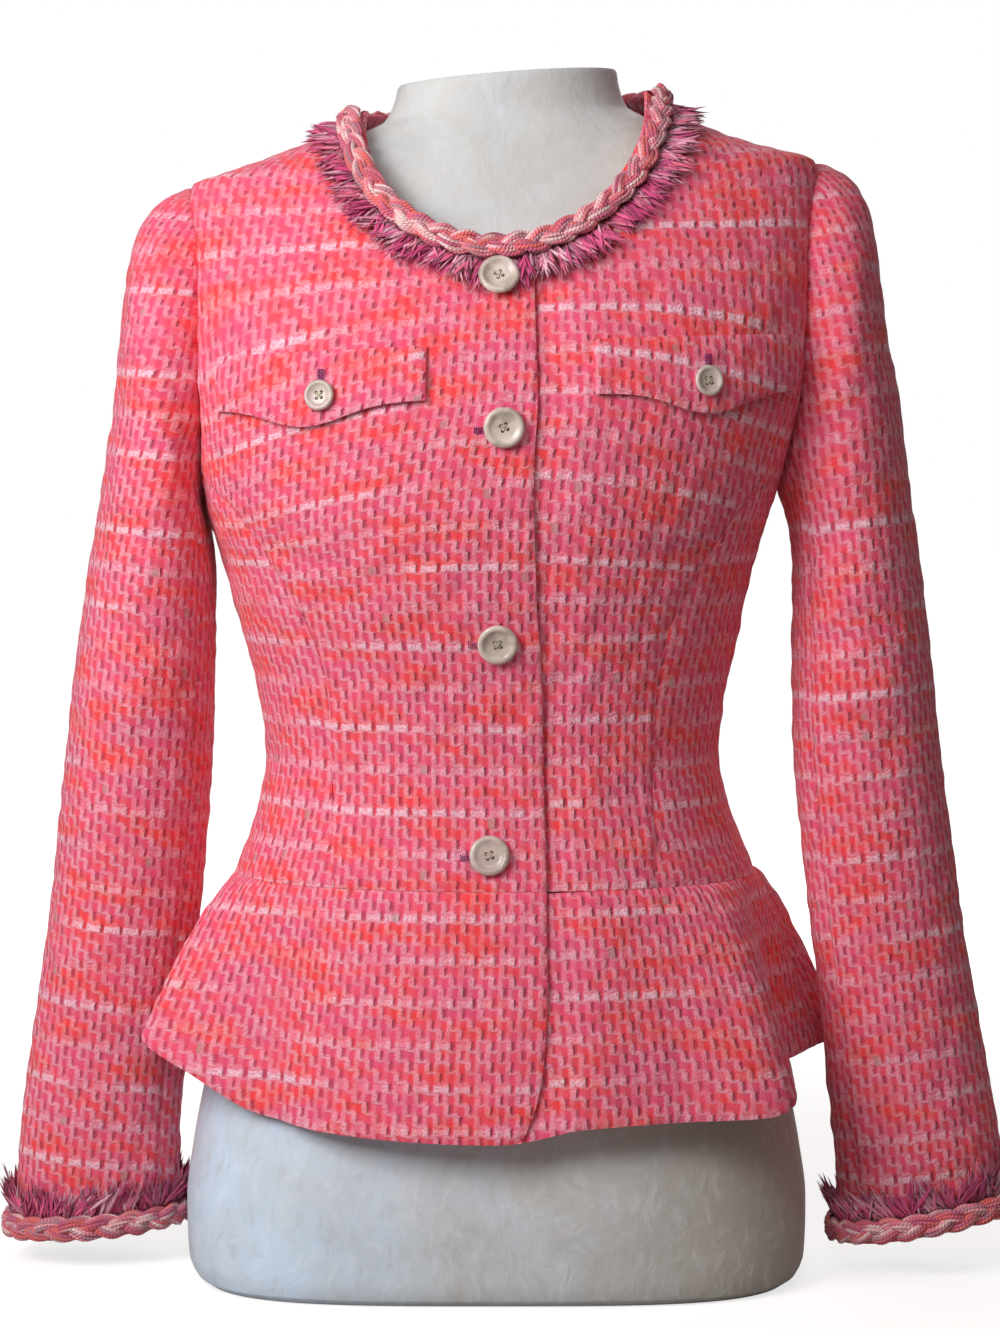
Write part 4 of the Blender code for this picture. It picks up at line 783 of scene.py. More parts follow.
@dataclass(frozen=True)
class Velvet(Finish):
    """Crushed velvet: pale grey with cool and warm patches where the pile lies its own way, painted sheen on
    whitish crushed marks, painted shade in its dents, cool painted light low on the -X side and warm painted
    shade over the +X side.
    """

    base: tuple = srgb(208, 208, 207)
    cool: tuple = srgb(204, 222, 242)
    warm: tuple = srgb(178, 167, 154)
    shine: tuple = srgb(236, 238, 242)

    def build(self) -> Material:
        """Makes the material on Object coordinates."""
        made, g, shader = self.start()
        place = g.place()
        bend = g.noise(place, 22.0, 2.0, "Color")
        bent = g.vmath("ADD", place, g.vmath("SCALE", bend, 0.05))
        broad = g.noise(bent, 14.0, 3.0)
        drawn = g.vmath("MULTIPLY", bent, (1.0, 1.0, 0.45))
        crushed = g.noise(drawn, 150.0, 4.0)
        fine = g.noise(bent, 420.0, 2.0)
        split = g.add("ShaderNodeSeparateXYZ", {0: place}).outputs
        # Painted light and shade: side is the +X side, painted warm and darker as shade below; left is low on
        # the -X side, painted cool as if in cool light, and drift mixes it with random cool patches.
        side = g.step(split[0], 0.0, 0.15)
        left = g.mul(g.step(split[0], 0.02, -0.13), g.step(split[2], 0.4, 0.1))
        drift = g.mad(g.step(broad, 0.4, 0.62), 0.25, g.mul(left, 0.75))
        shade = g.step(g.noise(drawn, 38.0, 3.0), 0.38, 0.64)
        color = g.mix(g.mul(shade, 0.22), g.mix(drift, self.base, self.cool), self.warm)
        # Painted shade over the +X side, away from the key light.
        color = g.mix(g.mul(side, 0.8), color, self.warm)
        low = g.step(split[2], 0.62, 0.55)
        # The crushed pattern with painted sheen: whitish marks where the pile is crushed, stronger below the
        # neck.
        marks = g.mul(g.step(crushed, 0.48, 0.74), g.mad(low, 0.18, 0.1))
        color = g.mix(marks, color, self.shine)
        # Painted shade in the dents, where the crushed relief is low, stronger below the neck.
        dent_shade = g.mul(g.step(crushed, 0.44, 0.34), g.mad(low, 0.16, 0.04))
        color = g.mix(dent_shade, color, self.warm)
        height = g.mad(fine, 0.25, crushed)
        self.dress(g, shader, color, height, 0.0005)
        rough = g.out("ShaderNodeMapRange", {"Value": crushed, "To Min": 0.42, "To Max": 0.75})
        g.link(rough, shader.inputs["Roughness"])
        return made


@dataclass(frozen=True)
class Resin(Finish):
    """Pale button resin, clouded like shell, with a soft pink blush."""

    pale: tuple = srgb(214, 196, 184)
    cloud: tuple = srgb(176, 160, 146)
    blush: tuple = srgb(222, 190, 190)

    def build(self) -> Material:
        """Makes the material on Object coordinates."""
        made, g, shader = self.start()
        place = g.place()
        cloud = g.noise(place, 90.0, 3.0)
        color = g.mix(g.step(cloud, 0.4, 0.62), self.pale, self.cloud)
        blush = g.step(g.noise(place, 45.0, 1.0), 0.5, 0.7)
        color = g.mix(g.mul(blush, 0.5), color, self.blush)
        self.dress(g, shader, color, g.noise(place, 700.0, 2.0), 0.00006)
        return made


class Finishes:
    """Every finish on the jacket and its form, built once."""

    def __init__(self) -> None:
        """Builds the shared groups and the materials."""
        weave, twist = weave_group(), twist_group()
        braid = dyes(
            (0.05, 216, 104, 138), (0.24, 246, 112, 108), (0.44, 250, 158, 166),
            (0.62, 255, 218, 214), (0.8, 244, 126, 150), (0.95, 196, 138, 152),
        )
        frayed = dyes(
            (0.05, 206, 62, 120), (0.3, 224, 84, 142), (0.5, 246, 116, 146),
            (0.66, 228, 150, 176), (0.82, 252, 196, 212), (0.95, 206, 84, 136),
        )
        violet = dyes((0.1, 126, 30, 110), (0.9, 176, 52, 140))
        cream = dyes((0.1, 214, 204, 170), (0.9, 240, 232, 204))
        self.tweed = Tweed("tweed", 0.88, 0.12).build(weave)
        self.braid = Yarn("braid_yarn", 0.8, 0.15, stops=braid).build(twist)
        fringe = Yarn("fringe_yarn", 0.85, 0.2, stops=frayed, shadow=srgb(176, 70, 110), turns=3.0)
        self.frayed = fringe.build(twist)
        self.velvet = Velvet("form_velvet", 0.6, 0.35, 0.35).build()
        self.resin = Resin("button_resin", 0.32, coat=0.25).build()
        stitch = Yarn("buttonhole_thread", 0.5, stops=violet, turns=1500.0, relief=0.0001)
        self.stitch = stitch.build(twist)
        thread = replace(stitch, name="button_thread", stops=cream, shadow=srgb(150, 140, 110))
        self.thread = thread.build(twist)


# Cloth


def add_object(name: str, data: bpy.types.ID) -> Piece:
    """Puts a mesh, curve, light or camera into the scene as an object."""
    piece = bpy.data.objects.new(name, data)
    bpy.context.scene.collection.objects.link(piece)
    return piece


def skin(name: str, points: Array, faces: list, finish: Material, sharp: float) -> Piece:
    """A smooth-shaded object from points and faces, whose edges above an angle stay sharp."""
    data = bpy.data.meshes.new(name)
    data.from_pydata(points.tolist(), [], faces)
    data.shade_smooth()
    data.set_sharp_from_angle(angle=math.radians(sharp))
    data.materials.append(finish)
    return add_object(name, data)


def evaluated(source: Piece) -> bpy.types.Mesh:
    """The mesh that an object's modifiers give."""
    bpy.context.view_layer.update()
    graph = bpy.context.evaluated_depsgraph_get()
    return bpy.data.meshes.new_from_object(source.evaluated_get(graph), depsgraph=graph)


def stand_for(piece: Piece, node: str) -> Piece:
    """Hides the solid that a piece stands for and fixes the piece to the body."""
    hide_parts(node)
    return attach(piece, "root")


@dataclass(frozen=True)
class Crease:
    """A soft crease in worn cloth, from one place of the pattern to another; a negative depth is a trough."""

    start: tuple
    end: tuple
    depth: float
    width: float

    def height(self, points: Array) -> Array:
        """How far the crease lifts the cloth at these points."""
        start, run = np.array(self.start), np.array(self.end) - np.array(self.start)
        part = ((points - start) @ run) / (run @ run)
        nearest = start + np.clip(part, 0, 1)[..., None] * run
        away = norm(points - nearest, axis=-1)
        ends = smooth(part, -0.1, 0.35) * (1 - smooth(part, 0.65, 1.1))
        return self.depth * ends * np.exp(-((away / self.width) ** 2))


def creases(*rows: tuple) -> tuple:
    """Creases from rows: the start's and the end's X, Y and Z, the depth and the width."""
    return tuple(Crease(row[:3], row[3:6], *row[6:]) for row in rows)


@dataclass
class Panel:
    """One cut piece, as a grid of its outer face from the bottom row up and from the left column on.

    sewn gives, for each border that is sewn, the share of it as an array of 0 and 1 or as one number.
    mitre gives the ways to the inner face along a border where two pieces meet at an angle.
    level names the border at the waist seam, where the wall stands level so that both sides meet.
    """

    name: str
    side: Side
    outer: Array
    normal: Array
    sewn: dict
    mitre: dict = field(default_factory=dict)
    up: Array = field(default_factory=lambda: np.array([0.0, 0.0, 1.0]))
    creases: tuple = ()
    phase: tuple = (0.0, 0.0)
    droop: float = 0.0
    level: str = ""
    flip: bool | None = None


BORDERS = {
    "left": (np.s_[:, 0], np.s_[:, 1]),
    "right": (np.s_[:, -1], np.s_[:, -2]),
    "bottom": (np.s_[0, :], np.s_[1, :]),
    "top": (np.s_[-1, :], np.s_[-2, :]),
}


@dataclass
class Cloth:
    """Makes walls of tweed from panels, each with its grain map, relief, seams and rounded edges."""

    finish: Material
    wall: float = 0.0025
    pitch: float = 0.0029
    seam_gap: float = 0.0002
    seam_dip: float = 0.001
    seam_reach: float = 0.0028
    edge_round: float = 0.0009
    edge_reach: float = 0.0016
    level_reach: float = 0.012
    mitre_reach: float = 0.014
    nub: float = 0.0003
    nub_waves: int = 14
    seed: int = 11

    def border_distance(self, outer: Array) -> dict[str, Array]:
        """How far each grid point is from each border, along the grid's own lines."""
        across, upward = np.zeros(outer.shape[:2]), np.zeros(outer.shape[:2])
        across[:, 1:] = np.cumsum(norm(np.diff(outer, axis=1), axis=-1), axis=1)
        upward[1:] = np.cumsum(norm(np.diff(outer, axis=0), axis=-1), axis=0)
        sides = {"left": across, "right": across[:, -1:] - across}
        return {**sides, "bottom": upward, "top": upward[-1:] - upward}

    def grain(self, panel: Panel) -> Array:
        """Measures the cloth's own grain over the panel: metres across and along the warp."""
        outer, normal = panel.outer, panel.normal
        upright = panel.up - (panel.up * normal).sum(-1, keepdims=True) * normal
        along = unit(upright)
        across = np.cross(along, normal)
        flow = []
        for later, before in ((np.s_[1:], np.s_[:-1]), (np.s_[:, 1:], np.s_[:, :-1])):
            step = outer[later] - outer[before]
            parts = [(step * (way[later] + way[before]) / 2).sum(-1) for way in (across, along)]
            flow.append(np.stack(parts, -1))
        grain = self.spread(*flow)
        grain -= grain[0, 0]
        x, z = outer[..., 0], outer[..., 2]
        sag = panel.droop * x**2 * smooth(z, 0.37, 0.46) * (1 - 0.7 * smooth(z, 0.52, 0.6))
        grain[..., 1] += sag
        grain[..., 0] *= panel.side.value
        return grain + np.array(panel.phase)

    @staticmethod
    def spread(upward: Array, across: Array) -> Array:
        """Finds the grid of values whose steps are nearest to the wanted ones.

        Args:
            upward: The wanted steps from each row to the next.
            across: The wanted steps from each column to the next.

        Returns:
            The values, with a mean of 0.
        """
        rows, columns = across.shape[0], upward.shape[1]
        wanted = np.zeros((rows, columns, across.shape[-1]))
        wanted[1:] += upward
        wanted[:-1] -= upward
        wanted[:, 1:] += across
        wanted[:, :-1] -= across
        sizes, shapes = [], []
        for count in (rows, columns):
            chain_of = 2 * np.eye(count) - np.eye(count, k=1) - np.eye(count, k=-1)
            chain_of[0, 0] = chain_of[-1, -1] = 1
            size, shape = np.linalg.eigh(chain_of)
            sizes.append(size)
            shapes.append(shape)
        total = sizes[0][:, None] + sizes[1][None, :]
        total[0, 0] = 1.0
        parts = np.einsum("ri,rck,cj->ijk", shapes[0], wanted, shapes[1], optimize=True) / total[..., None]
        parts[0, 0] = 0.0
        return np.einsum("ri,ijk,cj->rck", shapes[0], parts, shapes[1], optimize=True)

    def nubs(self, points: Array) -> Array:
        """Uneven small swells of the cloth, the same at each run."""
        chance = np.random.default_rng(self.seed)
        found = np.zeros(points.shape[:-1])
        for _ in range(self.nub_waves):
            way = unit(chance.normal(size=3)) * 2 * math.pi / chance.uniform(0.009, 0.022)
            found += np.sin(points @ way + chance.uniform(0, 2 * math.pi))
        return found * self.nub / math.sqrt(self.nub_waves / 2)

    def parted(self, panel: Panel) -> Array:
        """The outer points with each sewn border drawn back by half the seam's gap."""
        outer = panel.outer.copy()
        for name, sewn in panel.sewn.items():
            edge, inside = BORDERS[name]
            line = panel.outer[edge]
            away = unit(np.cross(np.gradient(line, axis=0), panel.normal[edge]))
            away *= np.sign(((panel.outer[inside] - line) * away).sum(-1, keepdims=True))
            outer[edge] += away * (self.seam_gap / 2 * np.asarray(sewn, float))[..., None]
        return outer

    def faces_of(self, rows: int, columns: int) -> Array:
        """Quads of a closed wall: the outer grid, the inner grid turned over, and the rim."""
        index = np.arange(rows * columns).reshape(rows, columns)
        low, high = index[:-1, :-1], index[1:, 1:]
        right, over = index[:-1, 1:], index[1:, :-1]
        front = np.stack([low, right, high, over], -1).reshape(-1, 4)
        rim = np.concatenate([index[0, :-1], index[:-1, -1], index[-1, :0:-1], index[:0:-1, 0]])
        following = np.roll(rim, -1)
        inner = rows * columns
        sides = np.stack([following, rim, rim + inner, following + inner], -1)
        return np.concatenate([front, front[:, ::-1] + inner, sides])

    def sew(self, panel: Panel) -> Piece:
        """Makes the panel's wall.

        Args:
            panel: The panel, on the +X side.

        Returns:
            The piece of cloth, which stands for the solid of the same name.
        """
        outer = self.parted(panel)
        distance = self.border_distance(panel.outer)
        grain = self.grain(panel)
        raise_by = self.nubs(outer * np.array([panel.side.value, 1, 1]) + panel.side.value)
        inner_rise = np.zeros(outer.shape[:2])
        for crease in panel.creases:
            height = crease.height(panel.outer)
            raise_by += height
            inner_rise += height
        ways = panel.normal.copy()
        if panel.level:
            ways[..., 2] *= smooth(distance[panel.level], 0.0, self.level_reach)
            ways = unit(ways)
        depth = -ways * self.wall
        for name, away in distance.items():
            spread = np.s_[:, None] if name in ("left", "right") else np.s_[None, :]
            sewn = np.broadcast_to(panel.sewn.get(name, 0.0), away[BORDERS[name][0]].shape)[spread]
            dip = self.seam_dip * np.exp(-((away / self.seam_reach) ** 2))
            raise_by -= sewn * dip
            turned = (1 - sewn) * self.edge_round * np.exp(-((away / self.edge_reach) ** 2))
            raise_by -= turned
            inner_rise += turned
            if name in panel.mitre:
                inward = panel.mitre[name][spread]
                share = (1 - smooth(away, 0.0, self.mitre_reach))[..., None]
                share = share * np.isfinite(inward).all(-1, keepdims=True)
                depth = depth * (1 - share) + np.nan_to_num(inward) * share
        face = outer + ways * raise_by[..., None]
        back = outer + depth + ways * inner_rise[..., None]
        points = [STANCE.settle(mirrored(grid, panel.side)).reshape(-1, 3) for grid in (face, back)]
        faces = self.faces_of(*outer.shape[:2])
        flip = panel.side is Side.RIGHT if panel.flip is None else panel.flip
        faces = (faces[:, ::-1] if flip else faces).tolist()
        piece = skin(panel.name, np.concatenate(points), faces, self.finish, 55)
        layer = piece.data.uv_layers.new(name="grain")
        corners = np.zeros(len(piece.data.loops), np.int32)
        piece.data.loops.foreach_get("vertex_index", corners)
        flat = np.concatenate([grain.reshape(-1, 2)] * 2)[corners]
        layer.data.foreach_set("uv", flat.astype(np.float32).ravel())
        spans = np.ptp(grain.reshape(-1, 2), axis=0)
        LOG.info("%s: cloth %.3f by %.3f m, %d points", panel.name, *spans, len(piece.data.vertices))
        return piece


def coons(bottom: Array, top: Array, left: Array, right: Array) -> Array:
    """A grid between four polylines; rows run from bottom to top and columns from left to right."""
    across = np.linspace(0, 1, len(bottom))[None, :, None]
    up = np.linspace(0, 1, len(left))[:, None, None]
    ends = (1 - across) * left[:, None] + across * right[:, None]
    sides = (1 - up) * bottom[None] + up * top[None]
    corners = (
        (1 - across) * (1 - up) * bottom[0]
        + across * (1 - up) * bottom[-1]
        + (1 - across) * up * top[0]
        + across * up * top[-1]
    )
    return ends + sides - corners


@dataclass
class Bodice:
    """The fitted body above the waist: four cut pieces on each side."""

    cloth: Cloth
    underlap: float = 0.02
    lap_gap: float = 0.001
    lap_blend: float = 0.03
    front_creases: tuple = creases(
        (0.15, -0.055, 0.452, 0.098, -0.11, 0.415, -0.0016, 0.009),
        (0.14, -0.05, 0.405, 0.085, -0.095, 0.372, -0.0012, 0.008),
        (0.12, -0.055, 0.33, 0.07, -0.088, 0.309, 0.0012, 0.009),
        (0.125, -0.05, 0.3, 0.06, -0.088, 0.286, -0.0014, 0.008),
        (0.13, -0.05, 0.272, 0.07, -0.093, 0.262, 0.0012, 0.008),
        (0.168, -0.055, 0.56, 0.13, -0.095, 0.52, -0.0014, 0.011),
        (0.11, -0.085, 0.61, 0.07, -0.08, 0.598, 0.001, 0.012),
    )
    side_creases: tuple = creases(
        (0.135, -0.01, 0.3, 0.125, -0.06, 0.318, -0.0014, 0.008),
        (0.135, 0.02, 0.318, 0.11, 0.06, 0.305, 0.0012, 0.008),
        (0.143, 0.015, 0.268, 0.11, 0.065, 0.282, -0.0013, 0.008),
        (0.165, 0.02, 0.44, 0.135, 0.07, 0.405, -0.0014, 0.01),
        (0.165, -0.02, 0.436, 0.15, -0.06, 0.412, -0.0012, 0.009),
    )
    back_creases: tuple = creases(
        (0.01, 0.088, 0.322, 0.09, 0.07, 0.309, 0.0014, 0.009),
        (0.015, 0.088, 0.297, 0.1, 0.062, 0.29, -0.0016, 0.008),
        (0.03, 0.092, 0.268, 0.11, 0.06, 0.266, 0.0012, 0.008),
        (0.15, 0.07, 0.54, 0.115, 0.098, 0.5, -0.0015, 0.012),
        (0.14, 0.07, 0.46, 0.09, 0.096, 0.43, -0.0012, 0.01),
    )

    def __post_init__(self) -> None:
        """Draws the seams that the panels share."""
        seams = {
            "front": TORSO.princess(TORSO.FRONT_SEAM, TORSO.FRONT_NOTCH, behind=False),
            "back": TORSO.princess(TORSO.BACK_SEAM, TORSO.BACK_NOTCH, behind=True),
            "side": TORSO.ridge(TORSO.WAIST_Z, TORSO.UNDERARM_Z, 80),
        }
        count = steps_for(seams["side"], self.cloth.pitch)
        self.seams = {name: TORSO.drawn(resample(line, count)) for name, line in seams.items()}
        for name, line in seams.items():
            self.seams[name][0], self.seams[name][-1] = line[0], line[-1]
        self.shoulder = self.even(TORSO.ridge(TORSO.NECK_POINT_Z, TORSO.TIP_Z, 120))

    def even(self, line: Array) -> Array:
        """The line in equal steps of about the cloth's pitch."""
        return resample(line, steps_for(line, self.cloth.pitch))

    @staticmethod
    def mitre_at(turns: Array, side: Side, wall: float) -> Array:
        """The ways from the armhole's outer edge to its inner one, where the bodice and the sleeve meet."""
        body = TORSO.normal(TORSO.armhole(turns))
        arm = ARM.normal(turns, np.full(len(turns), 0.3), side)
        middle = unit(body + arm)
        stretch = np.minimum(1 / np.maximum((middle * body).sum(-1), 0.2), 2.0)
        return -middle * (wall * stretch)[:, None]

    def armhole_turns(self, first: float, last: float) -> Array:
        """Turns of the armhole from one to another, in equal steps along it."""
        turns = np.linspace(first, last, 400)
        line = TORSO.armhole(turns)
        length = lengths(line)
        count = max(4, round(length[-1] / self.cloth.pitch))
        return np.interp(np.linspace(0, length[-1], count + 1), length, turns)

    def fitted(self, bottom: Array, top: Array, left: Array, right: Array) -> Array:
        """A grid between four seams, its inside drawn onto the bodice's outer face."""
        grid = coons(bottom, top, left, right)
        grid[1:-1, 1:-1] = TORSO.drawn(grid[1:-1, 1:-1])
        return grid

    def under_lap(self, points: Array, side: Side) -> Array:
        """How far the left front lies under the right one, near the front edge."""
        if side is Side.RIGHT:
            return np.zeros(points.shape[:-1])
        past = points[..., 0] - TORSO.lapped_edge(points[..., 2])
        in_front = np.where(points[..., 1] < 0, 1.0, 0.0)
        return (self.cloth.wall + self.lap_gap) * (1 - smooth(past, 0.002, self.lap_blend)) * in_front

    def centre_front(self, side: Side) -> Piece:
        """Front panel from the lapped edge to the princess seam and the armhole."""
        seam = self.seams["front"]
        turns = self.armhole_turns(TORSO.FRONT_NOTCH, 0.0)
        right = chain(seam, TORSO.armhole(turns))
        reach = (TORSO.NECK_FRONT_Z + 0.0015 - TORSO.WAIST_Z) / (TORSO.TIP_Z - TORSO.WAIST_Z)
        heights = TORSO.WAIST_Z + (right[:, 2] - TORSO.WAIST_Z) * reach
        edge = -TORSO.lapped_edge(heights) if side is Side.RIGHT else np.full(len(heights), -self.underlap)
        left = TORSO.face_point(edge, heights)
        start = math.degrees(math.asin(left[-1, 0] / TORSO.NECK_HALF_WIDTH))
        neck = self.even(TORSO.neckline(start, 90.0, 300))
        left[-1] = neck[0]
        top = chain(neck, self.shoulder)
        low = np.linspace(left[0, 0], right[0, 0], len(top))
        bottom = TORSO.face_point(low, np.full(len(top), TORSO.WAIST_Z))
        outer = self.fitted(bottom, top, left, right)
        normal = TORSO.normal(outer)
        mitre = np.full((len(right), 3), np.nan)
        mitre[len(seam) - 1 :] = self.mitre_at(turns, side, self.cloth.wall)
        outer = outer - normal * self.under_lap(outer, side)[..., None]
        sewn_top = (np.arange(len(top)) >= len(neck) - 1).astype(float)
        sewn = {"right": 1.0, "bottom": 1.0, "top": sewn_top}
        phase = (0.004, 0.006) if side is Side.RIGHT else (0.0, 0.0005)
        panel = Panel(f"centre_front_{side.word}", side, outer, normal, sewn, {"right": mitre}, phase=phase)
        return self.cloth.sew(replace(panel, droop=1.1, level="bottom", creases=self.front_creases))

    def narrow(self, word: str, side: Side) -> Piece:
        """Panel under the arm, in front of the side seam or behind it."""
        ahead = word == "side_front"
        turns = self.armhole_turns(*((TORSO.FRONT_NOTCH, 180.0) if ahead else (180.0, TORSO.BACK_NOTCH)))
        left, right = (self.seams[name] for name in (("front", "side") if ahead else ("side", "back")))
        top = TORSO.armhole(turns)
        bottom = resample(TORSO.waist_arc(left[0], right[0]), len(top) - 1)
        outer = self.fitted(bottom, top, left, right)
        sewn = dict.fromkeys(BORDERS, 1.0)
        mitre = {"top": self.mitre_at(turns, side, self.cloth.wall)}
        panel = Panel(f"{word}_{side.word}", side, outer, TORSO.normal(outer), sewn, mitre)
        return self.cloth.sew(replace(panel, phase=(0.002, 0.003), level="bottom", creases=self.side_creases))

    def centre_back(self, side: Side) -> Piece:
        """Back panel from the princess seam and the armhole to the centre back seam."""
        turns = self.armhole_turns(TORSO.BACK_NOTCH, 360.0)
        left = chain(self.seams["back"], TORSO.armhole(turns))
        neck = self.even(TORSO.neckline(90.0, 180.0, 300))
        top = chain(self.shoulder[::-1], neck)
        reach = (TORSO.NECK_BACK_Z - TORSO.WAIST_Z) / (TORSO.TIP_Z - TORSO.WAIST_Z)
        heights = TORSO.WAIST_Z + (left[:, 2] - TORSO.WAIST_Z) * reach
        right = np.stack([0 * heights, TORSO.back(heights), heights], -1)
        right[-1] = top[-1]
        arc = TORSO.waist_arc(left[0], right[0])
        outer = self.fitted(resample(arc, len(top) - 1), top, left, right)
        mitre = np.full((len(left), 3), np.nan)
        mitre[len(self.seams["back"]) - 1 :] = self.mitre_at(turns, side, self.cloth.wall)
        sewn_top = (np.arange(len(top)) <= len(self.shoulder) - 1).astype(float)
        sewn = {"left": 1.0, "right": 1.0, "bottom": 1.0, "top": sewn_top}
        panel = Panel(f"centre_back_{side.word}", side, outer, TORSO.normal(outer), sewn, {"left": mitre})
        return self.cloth.sew(replace(panel, droop=0.5, level="bottom", creases=self.back_creases))

    def build(self) -> list[Piece]:
        """Sews the eight pieces."""
        pieces = []
        for side in Side:
            pieces.append(self.centre_front(side))
            pieces += [self.narrow(word, side) for word in ("side_front", "side_back")]
            pieces.append(self.centre_back(side))
        return pieces


@dataclass
class Sleeves:
    """Two-piece sleeves set into the armholes."""

    cloth: Cloth
    top_from: float = -126.0
    top_to: float = 144.0
    elbow: tuple = creases(
        (0.245, -0.055, 0.395, 0.185, -0.05, 0.372, -0.0018, 0.009),
        (0.25, -0.052, 0.35, 0.19, -0.052, 0.338, 0.0016, 0.01),
        (0.25, -0.05, 0.318, 0.19, -0.048, 0.31, -0.0016, 0.009),
        (0.23, -0.06, 0.455, 0.18, -0.05, 0.43, -0.0018, 0.011),
        (0.215, -0.062, 0.52, 0.178, -0.048, 0.48, -0.0018, 0.012),
        (0.27, -0.03, 0.205, 0.21, -0.045, 0.19, 0.0013, 0.01),
        (0.275, -0.03, 0.14, 0.215, -0.04, 0.128, -0.0013, 0.01),
        (0.24, 0.058, 0.4, 0.185, 0.05, 0.372, 0.0016, 0.011),
        (0.25, 0.052, 0.345, 0.19, 0.05, 0.33, -0.0017, 0.01),
        (0.215, 0.06, 0.52, 0.18, 0.05, 0.47, -0.0017, 0.012),
        (0.27, 0.035, 0.2, 0.21, 0.045, 0.18, -0.0013, 0.01),
    )

    def build(self) -> list[Piece]:
        """Sews a top and an under sleeve for each arm."""
        marks = (self.top_from, self.top_to, 360 + self.top_from)
        spans = {"top_sleeve": marks[:2], "under_sleeve": marks[1:]}
        return [self.piece(word, *span, side) for side in Side for word, span in spans.items()]

    def piece(self, word: str, first: float, last: float, side: Side) -> Piece:
        """Sews one piece of one sleeve, between two turns of its rings."""
        pitch = self.cloth.pitch
        stations = np.linspace(ARM.ROWS[-1][0], 0, 800)
        length = lengths(ARM.point(0.0, stations, side))
        at = np.linspace(0, length[-1], round(length[-1] / pitch) + 1)
        stations = np.interp(at, length, stations)
        middle = ARM.point(np.linspace(first, last, 300), 5.0, side)
        columns = steps_for(middle, pitch)
        turns = np.linspace(last, first, columns + 1)[None, :]
        turn_grid, station_grid = np.broadcast_arrays(turns, stations[:, None])
        outer = ARM.point(turn_grid, station_grid, side)
        normal = ARM.normal(turn_grid, np.maximum(station_grid, 0.05), side)
        ends = [(ARM.point(0.0, ring, side) + ARM.point(180.0, ring, side)) / 2 for ring in (15.0, 6.0)]
        up = unit(ends[1] - ends[0])
        mitre = {"top": Bodice.mitre_at(turn_grid[0] % 360, side, self.cloth.wall)}
        name = f"{word}_{side.word}"
        sewn = {"left": 1.0, "right": 1.0, "top": 1.0}
        panel = Panel(name, side, outer, normal, sewn, mitre, up, self.elbow, (0.001, 0.013))
        return self.cloth.sew(panel)


@dataclass
class Peplum:
    """The flared skirt of the jacket below the waist seam, in three pieces."""

    cloth: Cloth
    bodice: Bodice
    rise: float = 0.0013

    def build(self) -> list[Piece]:
        """Sews the two fronts and the back."""
        rows = 61
        downs = np.linspace(1, 0, rows)
        waist = TORSO.WAIST_Z
        heights = waist + (SKIRT.hem_height(np.full(rows, 5.0)) - waist) * downs
        lap = self.edge_angle(heights, TORSO.lapped_edge(heights), downs)
        under = self.edge_angle(heights, np.full(rows, -self.bodice.underlap), downs)
        line = np.full(rows, 90.0)
        return [
            self.piece("peplum_front_right", -line, lap, Side.RIGHT, {"left": 1.0, "top": 1.0}),
            self.piece("peplum_front_left", under, line, Side.LEFT, {"right": 1.0, "top": 1.0}),
            self.piece("peplum_back", line, 360 - line, Side.RIGHT, {"left": 1.0, "right": 1.0, "top": 1.0}),
        ]

    @staticmethod
    def edge_angle(heights: Array, edge: Array, downs: Array) -> Array:
        """The angles at which the outer face reaches this far across."""
        angles = np.linspace(-20, 20, 401)
        return np.array([np.interp(x, SKIRT.point(angles, d)[:, 0], angles) for x, d in zip(edge, downs)])

    def piece(self, name: str, first: Array, last: Array, side: Side, sewn: dict) -> Piece:
        """Sews one piece between two lines of angles."""
        hem = SKIRT.point(np.linspace(first[0], last[0], 400), 1.0)
        columns = steps_for(hem, self.cloth.pitch * 1.05)
        share = np.linspace(0, 1, columns + 1)[None, :]
        angles = first[:, None] * (1 - share) + last[:, None] * share
        wrapped = (angles + 180) % 360 - 180
        downs = np.broadcast_to(np.linspace(1, 0, len(first))[:, None], angles.shape)
        outer = SKIRT.point(wrapped, downs)
        normal = SKIRT.normal(wrapped, np.maximum(downs, 0.02))
        outer = outer - normal * self.bodice.under_lap(outer, side)[..., None] * (side is Side.LEFT)
        flipped = mirrored(outer, side), mirrored(normal, side)
        panel = Panel(name, side, *flipped, sewn, phase=(0.003, 0.0165), level="top", flip=False)
        return self.cloth.sew(panel)


@dataclass
class PocketFlaps:
    """Pointed flaps on the chest, each one thickness of cloth."""

    cloth: Cloth
    wall: float = 0.0022
    gap: float = 0.001
    lift: float = 0.0012
    top_z: float = 0.548
    corner_z: float = 0.5175
    point_drop: float = 0.012
    point_at: float = 0.56
    point_spread: float = 0.25
    spans: dict = field(default_factory=lambda: {Side.RIGHT: (0.042, 0.161), Side.LEFT: (0.0515, 0.169)})

    def build(self) -> list[Piece]:
        """Sews the two flaps."""
        return [self.piece(side) for side in Side]

    def piece(self, side: Side) -> Piece:
        """Sews one flap."""
        inner, outer_x = self.spans[side]
        across = np.linspace(0, 1, 56)
        up = np.linspace(0, 1, 18)[:, None]
        low = self.corner_z - self.point_drop * np.exp(-(((across - self.point_at) / self.point_spread) ** 2))
        x = np.broadcast_to(inner + (outer_x - inner) * across, (len(up), len(across)))
        z = low + (self.top_z - low) * up
        base = TORSO.face_point(x, z)
        normal = TORSO.normal(base)
        rise = self.gap + self.lift * (1 - up) + self.wall
        outer = base + normal * rise[..., None]
        panel = Panel(f"pocket_flap_{side.word}", side, outer, normal, {}, droop=1.1, phase=(0.006, 0.311))
        return replace(self.cloth, wall=self.wall).sew(panel)


# The dress form


